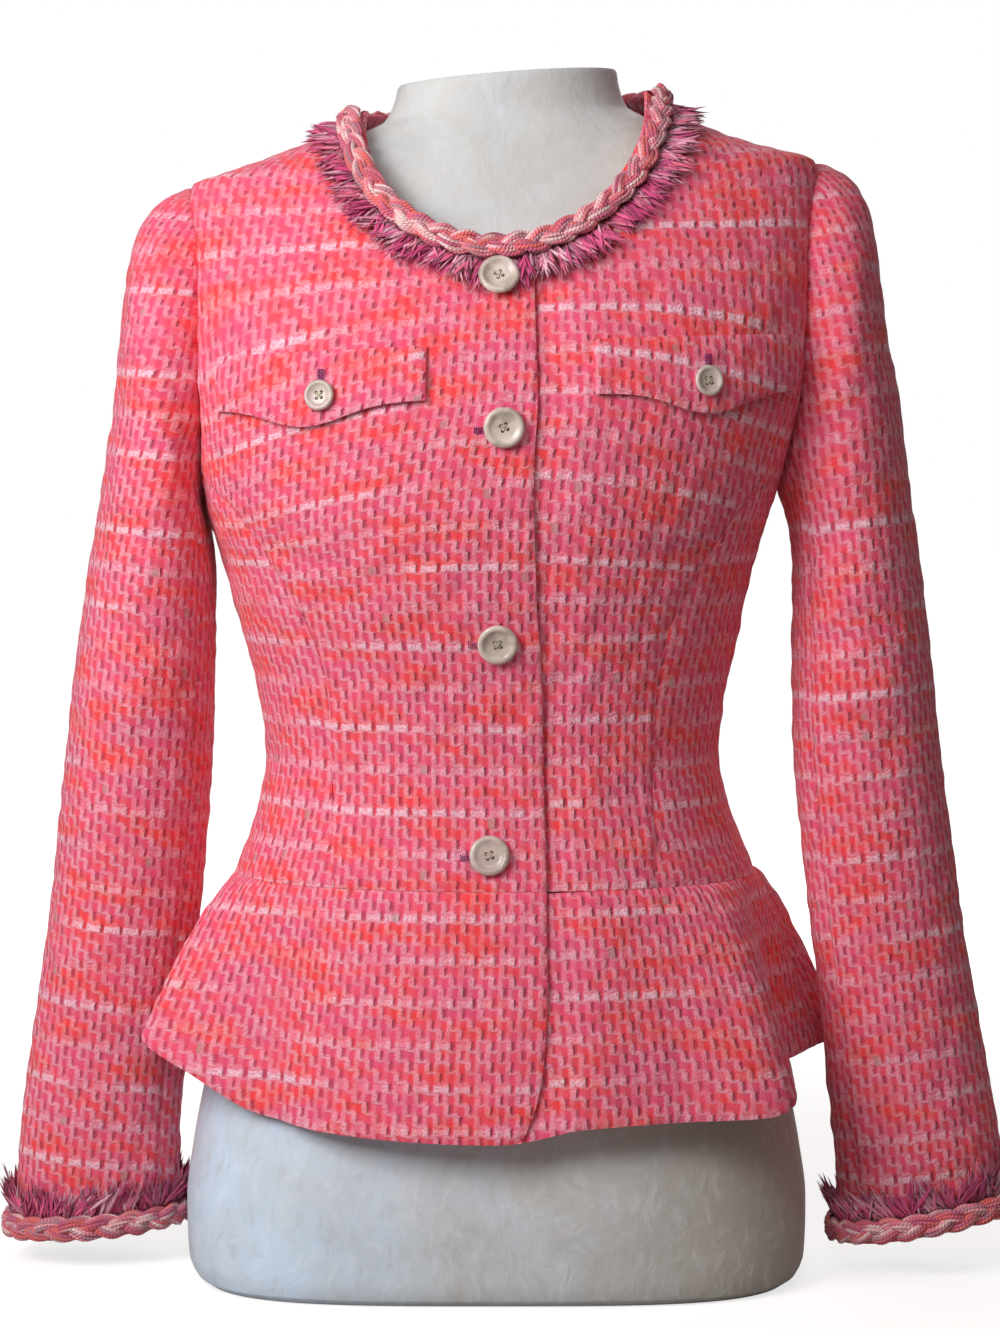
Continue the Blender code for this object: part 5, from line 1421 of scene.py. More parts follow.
@dataclass
class DressForm:
    """The limbless form: hips, the bodice's sections moved in and the neck, capped flat at both ends."""

    finish: Material
    sides: int = 144
    levels: int = 190
    wall: float = 0.0025
    # Height, half width, depth in front, depth behind, squareness
    low: tuple = (
        (0.0, 0.173, 0.11, 0.106, 3.6), (0.004, 0.179, 0.1145, 0.1105, 3.5),
        (0.014, 0.1835, 0.1165, 0.113, 3.3), (0.045, 0.185, 0.117, 0.116, 2.9),
        (0.075, 0.1815, 0.115, 0.116, 2.7), (0.105, 0.176, 0.111, 0.114, 2.5),
        (0.15, 0.165, 0.109, 0.108, 2.35), (0.195, 0.155, 0.105, 0.1, 2.25),
        (0.228, 0.148, 0.101, 0.094, 2.2),
    )
    neck: tuple = (
        (0.685, 0.072, 0.0445, 0.0635, 2.1), (0.692, 0.068, 0.044, 0.061, 2.05),
        (0.7, 0.0655, 0.044, 0.059, 2.0), (0.705, 0.0646, 0.0438, 0.058, 2.0),
        (0.7065, 0.0636, 0.043, 0.0572, 2.0),
    )
    # Height and space under the cloth
    clearance: tuple = (
        (0.238, 0.005), (0.31, 0.0045), (0.4, 0.004), (0.47, 0.0038), (0.56, 0.0036), (0.6, 0.0042),
        (0.64, 0.0065), (0.661, 0.0055), (0.673, 0.0045), (0.684, 0.0045),
    )
    # Heights of the bodice's sections that the form follows
    inside: tuple = (
        0.254, 0.281, 0.309, 0.345, 0.385, 0.43, 0.48, 0.53, 0.58,
        0.618, 0.645, 0.654, 0.663, 0.672, 0.679,
    )

    def build(self) -> Piece:
        """Makes the form's skin."""
        angles = np.arange(self.sides) * 360 / self.sides
        room = column(self.clearance)
        rings = [Torso.ring(angles, w, f, b, n, z) for z, w, f, b, n in self.low]
        for level in self.inside:
            outer = TORSO.section(angles, np.full(self.sides, level))
            near_middle = 1 - smooth(np.abs(outer[:, 0]), 0.055, 0.085)
            lap = np.where(outer[:, 1] < 0, 0.0035 * near_middle, 0.0)
            inset = self.wall + room(level) + lap
            rings.append(outer - TORSO.normal(outer) * inset[:, None])
        rings += [Torso.ring(angles, w, f, b, n, z) for z, w, f, b, n in self.neck]
        table = np.array([points.ravel() for points in rings])
        steps = np.abs(np.diff(table[:, 0])) + np.abs(np.diff(table[:, 2]))
        at = np.concatenate([[0], np.cumsum(steps)])
        where = np.unique(np.concatenate([np.linspace(0, at[-1], self.levels), at]))
        fine = self.through(at, table, where).reshape(-1, self.sides, 3)
        points = STANCE.settle(fine).reshape(-1, 3)
        count = len(fine)
        index = np.arange(count * self.sides).reshape(count, self.sides)
        nxt = np.roll(index, -1, axis=1)
        faces = np.stack([index[:-1], nxt[:-1], nxt[1:], index[1:]], -1).reshape(-1, 4).tolist()
        faces += [index[0, ::-1].tolist(), index[-1].tolist()]
        piece = skin("dress_form_skin", points, faces, self.finish, 50)
        return stand_for(piece, "dress_form")

    @staticmethod
    def through(at: Array, table: Array, where: Array) -> Array:
        """Reads every column of a table of points at these places, with no overshoot."""
        rows = np.column_stack([at, table])
        return np.stack([column(rows, place)(where) for place in range(1, rows.shape[1])], -1)


# Yarn, fringe, buttons and stitches


def geometry_tree(name: str, inputs: dict) -> tuple:
    """Makes a geometry tree with a Geometry input and output.

    Args:
        name: The tree's name.
        inputs: Each further input's default number, or its socket type.

    Returns:
        Its graph and the sockets that its inputs feed.
    """
    tree = bpy.data.node_groups.new(name, "GeometryNodeTree")
    add_inputs(tree, {"Geometry": "NodeSocketGeometry", **inputs})
    tree.interface.new_socket("Geometry", in_out="OUTPUT", socket_type="NodeSocketGeometry")
    graph = Graph(tree)
    return graph, graph.add("NodeGroupInput").outputs


def close_tree(graph: Graph, geometry: Socket, material: Socket) -> None:
    """Ends a geometry tree in Realize Instances and Set Material."""
    real = graph.add("GeometryNodeRealizeInstances", {0: geometry}).outputs[0]
    dressed = graph.add("GeometryNodeSetMaterial", {0: real, "Material": material}).outputs[0]
    graph.add("NodeGroupOutput", {0: dressed})


def store(graph: Graph, geometry: object, name: str, value: object) -> Socket:
    """Stores a number on the geometry's points under a name."""
    sockets = {0: geometry, "Name": name, "Value": value}
    return graph.out("GeometryNodeStoreNamedAttribute", sockets, data_type="FLOAT", domain="POINT")


def tube(g: Graph, line: Socket, sides: Socket, radius: object) -> Socket:
    """Runs a ring, which knows each point's place around it, along a line as a smooth tube."""
    ring = g.out("GeometryNodeCurvePrimitiveCircle", {"Resolution": sides, "Radius": radius})
    ring = store(g, ring, "around", g.add("GeometryNodeSplineParameter").outputs["Factor"])
    sockets = {"Curve": line, "Profile Curve": ring, "Fill Caps": True}
    return g.out("GeometryNodeSetShadeSmooth", {0: g.out("GeometryNodeCurveToMesh", sockets)})


def yarn_tree() -> Tree:
    """Builds the tree that turns centre lines into yarns, each with its own hue."""
    inputs = {"Radius": 0.001, "Sides": 6, "Seed": 3, "Material": MATERIAL}
    g, take = geometry_tree("yarns_along_lines", inputs)
    spline = g.add("GeometryNodeSplineParameter")
    lines = store(g, take["Geometry"], "along", spline.outputs["Length"])
    number = g.add("GeometryNodeCurveOfPoint").outputs["Curve Index"]
    sockets = {"ID": number, "Seed": take["Seed"]}
    dice = g.add("FunctionNodeRandomValue", sockets, data_type="FLOAT").outputs[1]
    lines = store(g, lines, "hue", dice)
    close_tree(g, tube(g, lines, take["Sides"], take["Radius"]), take["Material"])
    return g.tree


def tuft_tree() -> Tree:
    """Builds the tree that sets a bent, tapered yarn end on each point, along the point's own aim."""
    inputs = {"Radius": 0.0005, "Bend": 0.35, "Steps": 5, "Sides": 4, "Taper": 0.45, "Flatness": 1.0}
    g, take = geometry_tree("yarn_ends", {**inputs, "Seed": 5, "Material": MATERIAL})
    line = g.out("GeometryNodeCurvePrimitiveLine", {"End": (0.0, 0.0, 1.0)})
    line = g.out("GeometryNodeResampleCurve", {"Curve": line, "Count": take["Steps"]})
    part = g.add("GeometryNodeSplineParameter").outputs["Factor"]
    bent = g.mul(g.mul(part, part), take["Bend"])
    line = g.out("GeometryNodeSetPosition", {"Geometry": line, "Offset": g.vector(bent, 0.0, 0.0)})
    line = store(g, line, "along", part)
    thin = g.mad(g.mul(part, part), g.sub(take["Taper"], 1.0), 1.0)
    line = g.out("GeometryNodeSetCurveRadius", {"Curve": line, "Radius": thin})
    end = tube(g, line, take["Sides"], 1.0)
    kinds = {"aim": "FLOAT_VECTOR", "facing": "FLOAT_VECTOR", "reach": "FLOAT", "stout": "FLOAT"}
    read = {n: g.out("GeometryNodeInputNamedAttribute", {"Name": n}, data_type=k) for n, k in kinds.items()}
    sockets = {2: 0.0, 3: math.tau, "Seed": take["Seed"]}
    spin = g.add("FunctionNodeRandomValue", sockets, data_type="FLOAT").outputs[1]
    turned = g.out("FunctionNodeEulerToRotation", {0: g.vector(0.0, 0.0, spin)})
    sockets = {"Rotation": turned, "Vector": read["aim"]}
    turned = g.out("FunctionNodeAlignRotationToVector", sockets, axis="Z")
    sockets = {"Rotation": turned, "Vector": read["facing"]}
    turned = g.out("FunctionNodeAlignRotationToVector", sockets, axis="X", pivot_axis="Z")
    wide = g.mul(take["Radius"], read["stout"])
    size = g.vector(g.mul(wide, take["Flatness"]), wide, read["reach"])
    sockets = {"Points": take["Geometry"], "Instance": end, "Rotation": turned, "Scale": size}
    close_tree(g, g.out("GeometryNodeInstanceOnPoints", sockets), take["Material"])
    return g.tree


@dataclass
class YarnShop:
    """Makes yarns, yarn ends and stitches as plain meshes."""

    yarns: Tree = field(default_factory=yarn_tree)
    tufts: Tree = field(default_factory=tuft_tree)

    @staticmethod
    def run(source: Piece, tree: Tree, name: str, values: dict) -> Piece:
        """Runs a geometry tree on an object and keeps its result as a plain mesh.

        Args:
            source: The object that the tree starts from, which is removed.
            tree: The tree.
            name: The new object's name.
            values: The tree's inputs by name.

        Returns:
            The new object.
        """
        modifier = source.modifiers.new("tree", "NODES")
        modifier.node_group = tree
        for item in tree.interface.items_tree:
            if item.in_out == "INPUT" and item.name in values:
                modifier[item.identifier] = values[item.name]
        data = evaluated(source)
        data.name = name
        bpy.data.objects.remove(source)
        LOG.info("%s: %d points", name, len(data.vertices))
        return add_object(name, data)

    def lines(
        self, name: str, lines: list[Array], closed: bool, material: Material, radius: float, sides: int = 6
    ) -> Piece:
        """Yarns along centre lines.

        Args:
            name: The new object's name.
            lines: The centre lines' points.
            closed: Whether each line runs round to its start.
            material: The yarns' finish.
            radius: Half of a yarn's thickness.
            sides: How many sides a yarn has.

        Returns:
            The yarns as one mesh.
        """
        curve = bpy.data.curves.new(name, "CURVE")
        curve.dimensions = "3D"
        for points in lines:
            spline = curve.splines.new("POLY")
            spline.points.add(len(points) - 1)
            spline.points.foreach_set("co", np.column_stack([points, np.ones(len(points))]).ravel())
            spline.use_cyclic_u = closed
        values = {"Radius": radius, "Sides": sides, "Seed": len(lines), "Material": material}
        return self.run(add_object(name + "_lines", curve), self.yarns, name, values)

    def ends(
        self, name: str, roots: Array, aims: Array, facing: Array, shapes: dict,
        material: Material, **values: object,
    ) -> Piece:
        """Yarn ends that stand on points.

        Args:
            name: The new object's name.
            roots: Where each end starts.
            aims: The way each end leads.
            facing: The way its flat side faces, which it also bends to.
            shapes: Each end's reach, its stout share of the radius, and its hue of 0 to 1.
            material: The ends' finish.
            values: Further inputs of the tree, by name.

        Returns:
            The ends as one mesh.
        """
        data = bpy.data.meshes.new(name + "_roots")
        data.from_pydata(roots.tolist(), [], [])
        for label, numbers in shapes.items():
            data.attributes.new(label, "FLOAT", "POINT").data.foreach_set("value", numbers.astype(np.float32))
        for label, ways in (("aim", aims), ("facing", facing)):
            vectors = data.attributes.new(label, "FLOAT_VECTOR", "POINT")
            vectors.data.foreach_set("vector", ways.astype(np.float32).ravel())
        values["Material"] = material
        return self.run(add_object(name + "_roots", data), self.tufts, name, values)


@dataclass
class Trim:
    """A three-strand braid along an edge, with a row of frayed locks beyond it."""

    shop: YarnShop
    finishes: Finishes
    width: float = 0.0164
    strand: float = 0.0088
    swell: float = 0.0015
    flatness: float = 0.17
    yarns: int = 8
    yarn_radius: float = 0.00128
    lobe: float = 0.0132
    step: float = 0.0019
    over: float = 0.0007
    ply: float = 0.085
    fringe_from: float = 0.0138
    fringe_rows: float = 0.0035
    fringe_long: float = 0.012
    fringe_rise: float = 0.24
    lock: float = 0.0037
    lock_ends: int = 11
    end_radius: float = 0.00092
    seed: int = 23

    def edge(self, at: Array, distance: Array) -> tuple[Array, Array]:
        """Settled points of the cloth beside the edge and their outward ways; each trim has its own."""
        raise NotImplementedError

    def braid(self, name: str, length: float, closed: bool) -> Piece:
        """Plaits three strands of yarns along the edge.

        Args:
            name: The new object's name.
            length: The edge's length.
            closed: Whether the edge runs round to its start.

        Returns:
            The braid as one mesh.
        """
        lobes = 3 * round(length / self.lobe / 3) if closed else round(length / self.lobe)
        count = round(length / self.step)
        at = np.arange(count) / count if closed else np.linspace(0, 1, count)
        turn = at * lobes * 2 * math.pi / 3
        swing = (self.width - self.strand) / 2
        plies, waves = round(length / self.ply), round(length / 0.023)
        lines = []
        chance = np.random.default_rng(self.seed)
        for strand in range(3):
            phase = turn + strand * 2 * math.pi / 3
            middle = swing * np.sin(phase)
            rise = self.over + self.yarn_radius + self.flatness * self.strand
            rise = rise + self.swell * (1 + np.sin(2 * phase))
            for yarn in range(self.yarns):
                twist = (yarn / self.yarns + at * plies) * 2 * math.pi
                wander = 0.00035 * np.sin(at * 2 * math.pi * waves + chance.uniform(0, 6))
                across = self.width / 2 + middle + self.strand * 0.3 * np.cos(twist) + wander
                points, outward = self.edge(at, across[:, None])
                height = rise + self.flatness * self.strand * np.sin(twist)
                lines.append(points[:, 0] + outward[:, 0] * height[:, None])
        return self.shop.lines(name, lines, closed, self.finishes.braid, self.yarn_radius)

    def fringe(self, name: str, length: float) -> Piece:
        """Sets frayed locks beyond the braid, each of several yarn ends.

        Args:
            name: The new object's name.
            length: The edge's length.

        Returns:
            The ends as one mesh.
        """
        chance = np.random.default_rng(self.seed + len(name))
        locks = round(length / self.lock)
        count = locks * self.lock_ends
        lock = np.repeat(np.arange(locks), self.lock_ends)
        offset = chance.uniform(-0.62, 0.62, count)
        at = np.clip((lock + 0.5 + offset) / locks, 0.0, 1.0)
        start = self.fringe_from + chance.uniform(0, self.fringe_rows, count)
        near, outward = self.edge(at, np.stack([start, start + 0.004], 1))
        away = unit(near[:, 1] - near[:, 0])
        ways = outward[:, 0]
        side = np.cross(ways, away)
        if ((np.gradient(near[:, 0], axis=0) * side).sum(-1) < 0).mean() > 0.5:
            side = -side
        lean = chance.normal(0, 0.42, locks)[lock]
        reach = self.fringe_long * chance.uniform(0.78, 1.05, locks)[lock] * chance.uniform(0.55, 1.0, count)
        sideways = lean - 0.15 * offset * self.lock / reach + chance.normal(0, 0.26, count)
        rise = self.fringe_rise * chance.uniform(0.4, 1.3, locks)[lock] + chance.normal(0, 0.12, count)
        flat = self.pressed(near[:, 0])
        rise = np.where(flat, 0.05, np.maximum(rise, 0.06))
        aims = unit(away + side * sideways[:, None] + ways * rise[:, None])
        roots = near[:, 0] + ways * (self.over + chance.uniform(0, 0.0016, count) * ~flat)[:, None]
        facing = unit(ways + side * chance.normal(0, 0.45, count)[:, None])
        hue = np.clip(chance.uniform(0, 1, locks)[lock] + chance.normal(0, 0.09, count), 0, 1)
        shapes = {"reach": reach, "stout": chance.uniform(0.6, 1.5, count), "hue": hue}
        settings = {"Radius": self.end_radius, "Bend": 2.4, "Flatness": 0.42, "Taper": 0.75}
        return self.shop.ends(name, roots, aims, facing, shapes, self.finishes.frayed, **settings)

    def pressed(self, points: Array) -> Array:
        """Whether something lies on the fringe at these points."""
        return np.zeros(len(points), bool)


@dataclass
class NeckTrim(Trim):
    """The trim of the neck edge."""

    gap: float = 0.0015
    button_half: float = 0.0145
    button_across: float = -0.0017

    def __post_init__(self) -> None:
        """Draws the neck edge from beside the lapped front edge round the back to that edge."""
        half = TORSO.neckline(0.0, 180.0, 500)
        whole = np.concatenate([half, half[-2::-1] * np.array([-1.0, 1.0, 1.0])])
        length = lengths(whole)
        lap = float(TORSO.lapped_edge(TORSO.NECK_FRONT_Z))
        ends = np.interp([lap + self.gap, lap - self.gap], half[:, 0], length[: len(half)])
        self.whole, self.marks = whole, length
        self.first, self.length = ends[0], length[-1] + ends[1] - ends[0]

    def edge(self, at: Array, distance: Array) -> tuple[Array, Array]:
        """Settled points of the bodice below the neck edge, and their outward ways."""
        where = (self.first + at * self.length) % self.marks[-1]
        spots = []
        for shift in (-0.001, 0.0, 0.001):
            mark = (where + shift) % self.marks[-1]
            spots.append(np.stack([np.interp(mark, self.marks, self.whole[:, k]) for k in range(3)], -1))
        along = unit(spots[2] - spots[0])
        away = unit(np.cross(along, TORSO.normal(spots[1])))
        point = np.repeat(spots[1][:, None], distance.shape[1], axis=1)
        steps = 4
        for _ in range(steps):
            point = TORSO.drawn(point + away[:, None] * (distance / steps)[..., None], rounds=4)
        normal = TORSO.normal(point)
        placed = STANCE.settle(point)
        return placed, unit(STANCE.settle(point + normal * 0.001) - placed)

    def pressed(self, points: Array) -> Array:
        """Whether the first button lies over these points."""
        return (np.abs(points[:, 0] - self.button_across) < self.button_half) & (points[:, 1] < 0)

    def build(self) -> None:
        """Makes the neck's braid and fringe."""
        braid = self.braid("neck_braid_yarns", self.length, closed=False)
        fringe = self.fringe("neck_fringe_yarns", self.length)
        stand_for(braid, "neck_braid")
        stand_for(fringe, "neck_fringe")


@dataclass
class CuffTrim(Trim):
    """The trim of one cuff, whose fringe stands up the sleeve."""

    side: Side = Side.RIGHT
    fringe_long: float = 0.0135
    fringe_rise: float = 0.3

    def edge(self, at: Array, distance: Array) -> tuple[Array, Array]:
        """Settled points of the sleeve above the cuff edge, and their outward ways."""
        last, before = ARM.ROWS[-1], ARM.ROWS[-2]
        station = last[0] - distance / (before[2] - last[2])
        turn = np.broadcast_to((at * 360)[:, None], distance.shape)
        point = ARM.point(turn, station, self.side)
        normal = ARM.normal(turn, np.minimum(station, 15.98), self.side)
        placed = STANCE.settle(mirrored(point, self.side))
        return placed, unit(STANCE.settle(mirrored(point + normal * 0.001, self.side)) - placed)

    def build(self) -> None:
        """Makes the cuff's braid and fringe."""
        line = self.edge(np.linspace(0, 1, 200), np.zeros((200, 1)))[0][:, 0]
        length = float(norm(np.diff(line, axis=0), axis=1).sum())
        word = self.side.word
        braid = self.braid(f"cuff_braid_yarns_{word}", length, closed=True)
        fringe = self.fringe(f"cuff_fringe_yarns_{word}", length)
        stand_for(braid, f"cuff_braid_{word}")
        stand_for(fringe, f"cuff_fringe_{word}")


@dataclass
class Buttons:
    """Four-hole resin buttons with a raised rim, sewn on with thread, and their worked buttonholes."""

    shop: YarnShop
    finishes: Finishes
    nodes: dict
    sides: int = 56
    front: tuple = (0.023, 0.0036)
    pocket: tuple = (0.0175, 0.003)
    hole_radius: float = 0.00105
    hole_offset: float = 0.0021
    pocket_height: float = 0.5225
    front_rise: float = 0.0006
    flap_rise: float = 0.0049
    outline: tuple = (
        (0.0, 0.5), (0.3, 0.5), (0.5, 0.56), (0.62, 0.66), (0.7, 0.84), (0.76, 0.96), (0.83, 1.0),
        (0.9, 0.96), (0.97, 0.78), (1.0, 0.56), (0.97, 0.34), (0.86, 0.1), (0.8, 0.0), (0.0, 0.0),
    )

    def place_of(self, node: str) -> tuple[Vector, Matrix]:
        """Where a button's solid lies: the middle of its back face, and its turn."""
        points = np.array([vertex.co for vertex in self.nodes[node].data.vertices])
        middle = (points.min(0) + points.max(0)) / 2
        axis = np.linalg.svd(points - points.mean(0), full_matrices=False)[2][2]
        axis *= -np.sign(axis[1])
        back = middle + axis * ((points - middle) @ axis).min()
        return Vector(back), Vector(axis).to_track_quat("Z", "Y").to_matrix()

    def disc(self, name: str, diameter: float, thickness: float) -> bpy.types.Mesh:
        """Turns the button's outline and cuts its four holes."""
        mesh = bmesh.new()
        turns = np.arange(self.sides) * 2 * math.pi / self.sides
        rings = []
        for share, height in self.outline[1:-1]:
            radius = share * diameter / 2
            ring = [(radius * math.cos(a), radius * math.sin(a), height * thickness) for a in turns]
            rings.append([mesh.verts.new(place) for place in ring])
        for low, high in zip(rings, rings[1:]):
            for i in range(self.sides):
                k = (i + 1) % self.sides
                mesh.faces.new((low[i], high[i], high[k], low[k]))
        mesh.faces.new(rings[0])
        mesh.faces.new(rings[-1][::-1])
        bmesh.ops.recalc_face_normals(mesh, faces=mesh.faces)
        data = bpy.data.meshes.new(name)
        mesh.to_mesh(data)
        mesh.free()
        blank = add_object(name + "_blank", data)
        cutter = bmesh.new()
        drill = {"segments": 14, "depth": thickness * 3, "cap_ends": True}
        drill |= dict.fromkeys(("radius1", "radius2"), self.hole_radius)
        for turn in range(4):
            angle = math.radians(45 + 90 * turn)
            place = (self.hole_offset * math.cos(angle), self.hole_offset * math.sin(angle), thickness / 2)
            bmesh.ops.create_cone(cutter, matrix=Matrix.Translation(place), **drill)
        cutter_data = bpy.data.meshes.new(name + "_holes")
        cutter.to_mesh(cutter_data)
        cutter.free()
        holes = add_object(name + "_holes", cutter_data)
        cut = blank.modifiers.new("holes", "BOOLEAN")
        cut.operation, cut.solver, cut.object = "DIFFERENCE", "EXACT", holes
        made = evaluated(blank)
        for helper in (blank, holes):
            bpy.data.objects.remove(helper)
        made.shade_smooth()
        made.set_sharp_from_angle(angle=math.radians(40))
        made.materials.append(self.finishes.resin)
        return made

    def sew_on(self, node: str, size: tuple, disc: bpy.types.Mesh, tilt: float) -> None:
        """Places a button and its threads over its solid."""
        place, turn = self.place_of(node)
        turned = Matrix.Translation(place) @ (turn @ Matrix.Rotation(tilt, 3, "Z")).to_4x4()
        data = disc.copy()
        data.transform(turned)
        stand_for(add_object(node + "_resin", data), node)
        low = -0.0002
        lines = []
        for first, over in ((45, 0.0), (135, 0.0004)):
            rise = size[1] * 0.5 + 0.00035 + over
            for shift in (-0.00034, 0.0, 0.00034):
                path = []
                for angle in (first, first + 180):
                    cos, sin = math.cos(math.radians(angle)), math.sin(math.radians(angle))
                    x = self.hole_offset * cos - shift * sin
                    y = self.hole_offset * sin + shift * cos
                    path += [(x, y, low), (x, y, rise - 0.0002), (x * 0.75, y * 0.75, rise)]
                path[3:] = path[:2:-1]
                lines.append(np.array([turned @ Vector(p) for p in path]))
        thread = self.shop.lines(node + "_thread", lines, False, self.finishes.thread, 0.00022, 5)
        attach(thread, "root")

    def buttonhole(self, name: str, first: tuple, last: tuple, side: Side, rise: float) -> None:
        """Works a buttonhole: two rows of close stitches between two places of the front view.

        Args:
            name: The new object's name.
            first: Across and height of one end, in the pattern.
            last: The other end.
            side: The side that it is on.
            rise: How far above the bodice's outer face it lies.
        """
        count = 22
        share = np.linspace(0, 1, count)[:, None]
        spots = np.array(first) * (1 - share) + np.array(last) * share
        run = unit(np.array(last) - np.array(first))
        aside = np.array([-run[1], run[0]])
        chance = np.random.default_rng(count + len(name))
        roots, aims, facing = [], [], []
        for sign in (-1, 1):
            inner = spots + aside * 0.00022 * sign
            outer = spots + aside * (0.0016 + chance.uniform(-0.0002, 0.0002, (count, 1))) * sign
            pair = []
            for flat in (inner, outer):
                point = TORSO.face_point(flat[:, 0], flat[:, 1])
                point = point + TORSO.normal(point) * rise
                pair.append(STANCE.settle(mirrored(point, side)))
            roots.append(pair[0])
            aims.append(pair[1] - pair[0])
            facing.append(np.tile((0.0, -1.0, 0.2), (count, 1)))
        roots, aims, facing = (np.concatenate(parts) for parts in (roots, aims, facing))
        hue = chance.uniform(0.1, 0.9, len(roots))
        shapes = {"reach": norm(aims, axis=1), "stout": np.ones(len(roots)), "hue": hue}
        settings = {"Radius": 0.00032, "Bend": 0.4, "Taper": 0.8, "Steps": 3}
        stitches = self.shop.ends(name, roots, unit(aims), facing, shapes, self.finishes.stitch, **settings)
        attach(stitches, "root")

    def build(self) -> None:
        """Makes six buttons and six buttonholes."""
        sizes = (self.front, self.pocket)
        discs = {size: self.disc(f"disc_{number}", *size) for number, size in enumerate(sizes)}
        tilts = (0.5, 0.35, 0.15, 0.25)
        spots = ((-0.0017, 0.585), (0.0034, 0.501), (0.0041, 0.3795), (-0.0026, 0.258))
        for number, (tilt, (across, height)) in enumerate(zip(tilts, spots), start=1):
            self.sew_on(f"front_button_{number}", self.front, discs[self.front], tilt)
            ends = (across - 0.0165, height - 0.001), (across + 0.0085, height - 0.001)
            self.buttonhole(f"buttonhole_{number}", *ends, Side.LEFT, self.front_rise)
        for side, across in ((Side.RIGHT, 0.1), (Side.LEFT, 0.1145)):
            self.sew_on(f"pocket_button_{side.word}", self.pocket, discs[self.pocket], 0.1)
            ends = (across, self.pocket_height - 0.004), (across, self.pocket_height + 0.0145)
            self.buttonhole(f"flap_buttonhole_{side.word}", *ends, side, self.flap_rise)


# Studio


@dataclass
class Studio:
    """Pale floor, plain soft light and a camera at chest height in front."""

    camera_place: tuple = (0.0, -2.0, 0.5)
    pitch: float = math.degrees(math.atan(0.0699))
    metres_a_pixel: float = 0.000597
    picture_height: int = 1329
    floor_reach: float = 12.0

    def build(self) -> None:
        """Sets the scene."""
        scene = bpy.context.scene
        scene.view_settings.view_transform = "Standard"
        scene.view_settings.look = "None"
        self.camera(scene)
        self.floor()
        self.world(scene)
        self.light("key", (-0.86, -0.95, 1.0), (-0.08, 0.0, 0.36), 0.7, 17.0)
        self.light("front", (0.05, -1.2, 1.55), (0.05, 0.0, 0.62), 0.7, 4.6)
        self.light("rim", (0.2, 1.7, 1.3), (0.0, 0.0, 0.4), 1.4, 16.0)

    def camera(self, scene: bpy.types.Scene) -> None:
        """Places the camera."""
        data = bpy.data.cameras.new("camera")
        depth = -self.camera_place[1] / math.cos(math.radians(self.pitch))
        data.lens = depth * data.sensor_width / (self.picture_height * self.metres_a_pixel)
        data.clip_start, data.clip_end = 0.05, 50.0
        camera = add_object("camera", data)
        camera.location = self.camera_place
        camera.rotation_euler = (math.radians(90 - self.pitch), 0.0, 0.0)
        scene.camera = camera

    def floor(self) -> None:
        """A wide pale floor."""
        finish, graph, shader = Finish("floor_paint", roughness=0.9).start()
        place = graph.place()
        tone = graph.mix(graph.noise(place, 3.0), srgb(176, 174, 172), srgb(184, 182, 180))
        Finish.dress(graph, shader, tone, None, 0.0)
        shader.inputs["Emission Color"].default_value = (1.0, 1.0, 1.0, 1.0)
        seen = graph.add("ShaderNodeLightPath").outputs["Is Camera Ray"]
        reach = graph.add("ShaderNodeVectorMath", {0: place}, operation="LENGTH").outputs["Value"]
        glow = graph.mad(graph.step(reach, 0.3, 1.6), 0.26, 0.72)
        graph.link(graph.mul(seen, glow), shader.inputs["Emission Strength"])
        corners = np.array([(-1, -1, 0), (1, -1, 0), (1, 1, 0), (-1, 1, 0)]) * self.floor_reach
        floor = skin("floor", corners, [(0, 1, 2, 3)], finish, 30)
        floor.location.z = -0.0005

    def world(self, scene: bpy.types.Scene) -> None:
        """An even white surround."""
        world = bpy.data.worlds.new("surround")
        world.use_nodes = True
        background = world.node_tree.nodes["Background"]
        graph = Graph(world.node_tree)
        seen = graph.add("ShaderNodeLightPath").outputs["Is Camera Ray"]
        strength = graph.mad(seen, 0.88, 0.12)
        graph.link(strength, background.inputs["Strength"])
        tint = graph.mix(seen, (1.0, 0.88, 0.8, 1.0), (1.0, 1.0, 1.0, 1.0))
        graph.link(tint, background.inputs["Color"])
        scene.world = world

    def light(self, name: str, place: tuple, aim: tuple, size: float, power: float) -> None:
        """Adds a square soft light that faces the object."""
        data = bpy.data.lights.new(name, "AREA")
        data.shape = "SQUARE"
        data.size = size
        data.energy = power
        light = add_object(name, data)
        light.location = place
        light.rotation_euler = (Vector(aim) - Vector(place)).to_track_quat("-Z", "Y").to_euler()


@dataclass(frozen=True)
class Cut:
    """A panel as it was cut: its bounding width and length, its area, and how it is worn."""

    width: float
    length: float
    area: float
    rests_on: tuple = ("dress_form",)
    carries: tuple = ()
    held: str = "hung"

    def declare(self, piece: Piece, word: str) -> None:
        """Does nothing with the piece; it is not declared as this sheet of cloth.

        Args:
            piece: The made piece of cloth; not used.
            word: The side in the names of what it rests on and carries, where they have one; not used.
        """


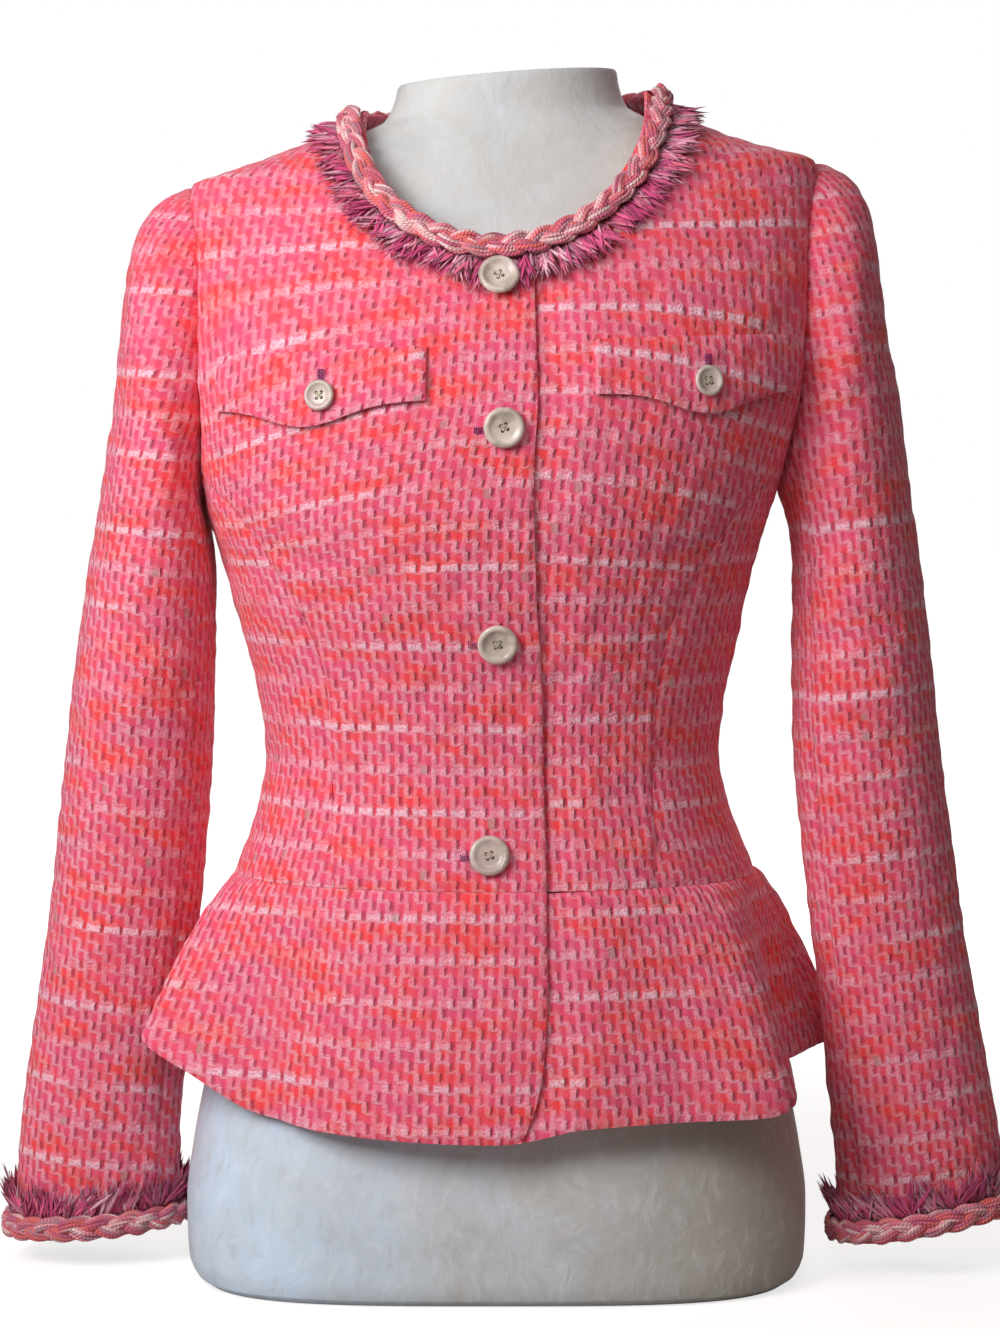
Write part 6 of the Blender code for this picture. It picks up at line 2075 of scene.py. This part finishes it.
ON_FORM = ("dress_form",)
FRONT_BUTTONS = tuple(f"front_button_{n}_{part}" for n in range(1, 5) for part in ("resin", "thread"))
BUTTONHOLES = tuple(f"buttonhole_{n}" for n in range(1, 5))
NECK_YARNS = ("neck_braid_yarns", "neck_fringe_yarns")
FLAP_PIECES = ("pocket_button_{side}_resin", "pocket_button_{side}_thread", "flap_buttonhole_{side}")
CUFF_YARNS = ("cuff_braid_yarns_{side}", "cuff_fringe_yarns_{side}")
CUTS = {
    "centre_front_right": Cut(0.234, 0.497, 0.0738, ON_FORM, BUTTONHOLES, "draped"),
    "centre_front_left": Cut(0.225, 0.497, 0.0717, ON_FORM, FRONT_BUTTONS, "draped"),
    "side_front": Cut(0.119, 0.25, 0.0219, held="draped"),
    "side_back": Cut(0.117, 0.297, 0.0254, held="draped"),
    "centre_back_right": Cut(0.208, 0.495, 0.0677, ON_FORM, NECK_YARNS, "draped"),
    "centre_back_left": Cut(0.208, 0.495, 0.0677, held="draped"),
    "peplum_front": Cut(0.29, 0.148, 0.0362, ("centre_front_{side}_cloth", "side_front_{side}_cloth")),
    "peplum_back": Cut(0.523, 0.129, 0.0613, ("centre_back_left_cloth", "centre_back_right_cloth")),
    "top_sleeve": Cut(
        0.217, 0.655, 0.1245, ("centre_front_{side}_cloth", "centre_back_{side}_cloth"), CUFF_YARNS
    ),
    "under_sleeve": Cut(0.09, 0.488, 0.0327, ("side_front_{side}_cloth", "top_sleeve_{side}_cloth")),
    "pocket_flap": Cut(0.137, 0.054, 0.0045, ("centre_front_{side}_cloth",), FLAP_PIECES),
}


def declare_cloth(pieces: list[Piece]) -> None:
    """Hides the solid that each piece of cloth stands for and fixes the piece to the body; its cut is looked
    up and passed to Cut.declare, which does nothing with it.
    """
    for piece in pieces:
        node = piece.name.removesuffix("_cloth")
        stand_for(piece, node)
        shape, _, word = node.rpartition("_")
        cut = CUTS.get(node) or CUTS[shape]
        cut.declare(piece, word)


def main() -> None:
    """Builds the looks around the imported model."""
    logging.basicConfig(level=logging.INFO, format="%(name)s: %(message)s")
    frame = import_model()
    finishes = Finishes()
    DressForm(finishes.velvet).build()
    cloth = Cloth(finishes.tweed)
    bodice = Bodice(cloth)
    pieces = bodice.build()
    pieces += Sleeves(cloth).build()
    pieces += Peplum(cloth, bodice).build()
    pieces += PocketFlaps(cloth).build()
    for piece in pieces:
        piece.name = piece.data.name = piece.name.split(".")[0] + "_cloth"
    shop = YarnShop()
    NeckTrim(shop, finishes).build()
    for side in Side:
        CuffTrim(shop, finishes, side=side).build()
    Buttons(shop, finishes, frame["nodes"]).build()
    declare_cloth(pieces)
    Studio().build()


if __name__ == "__main__":
    main()
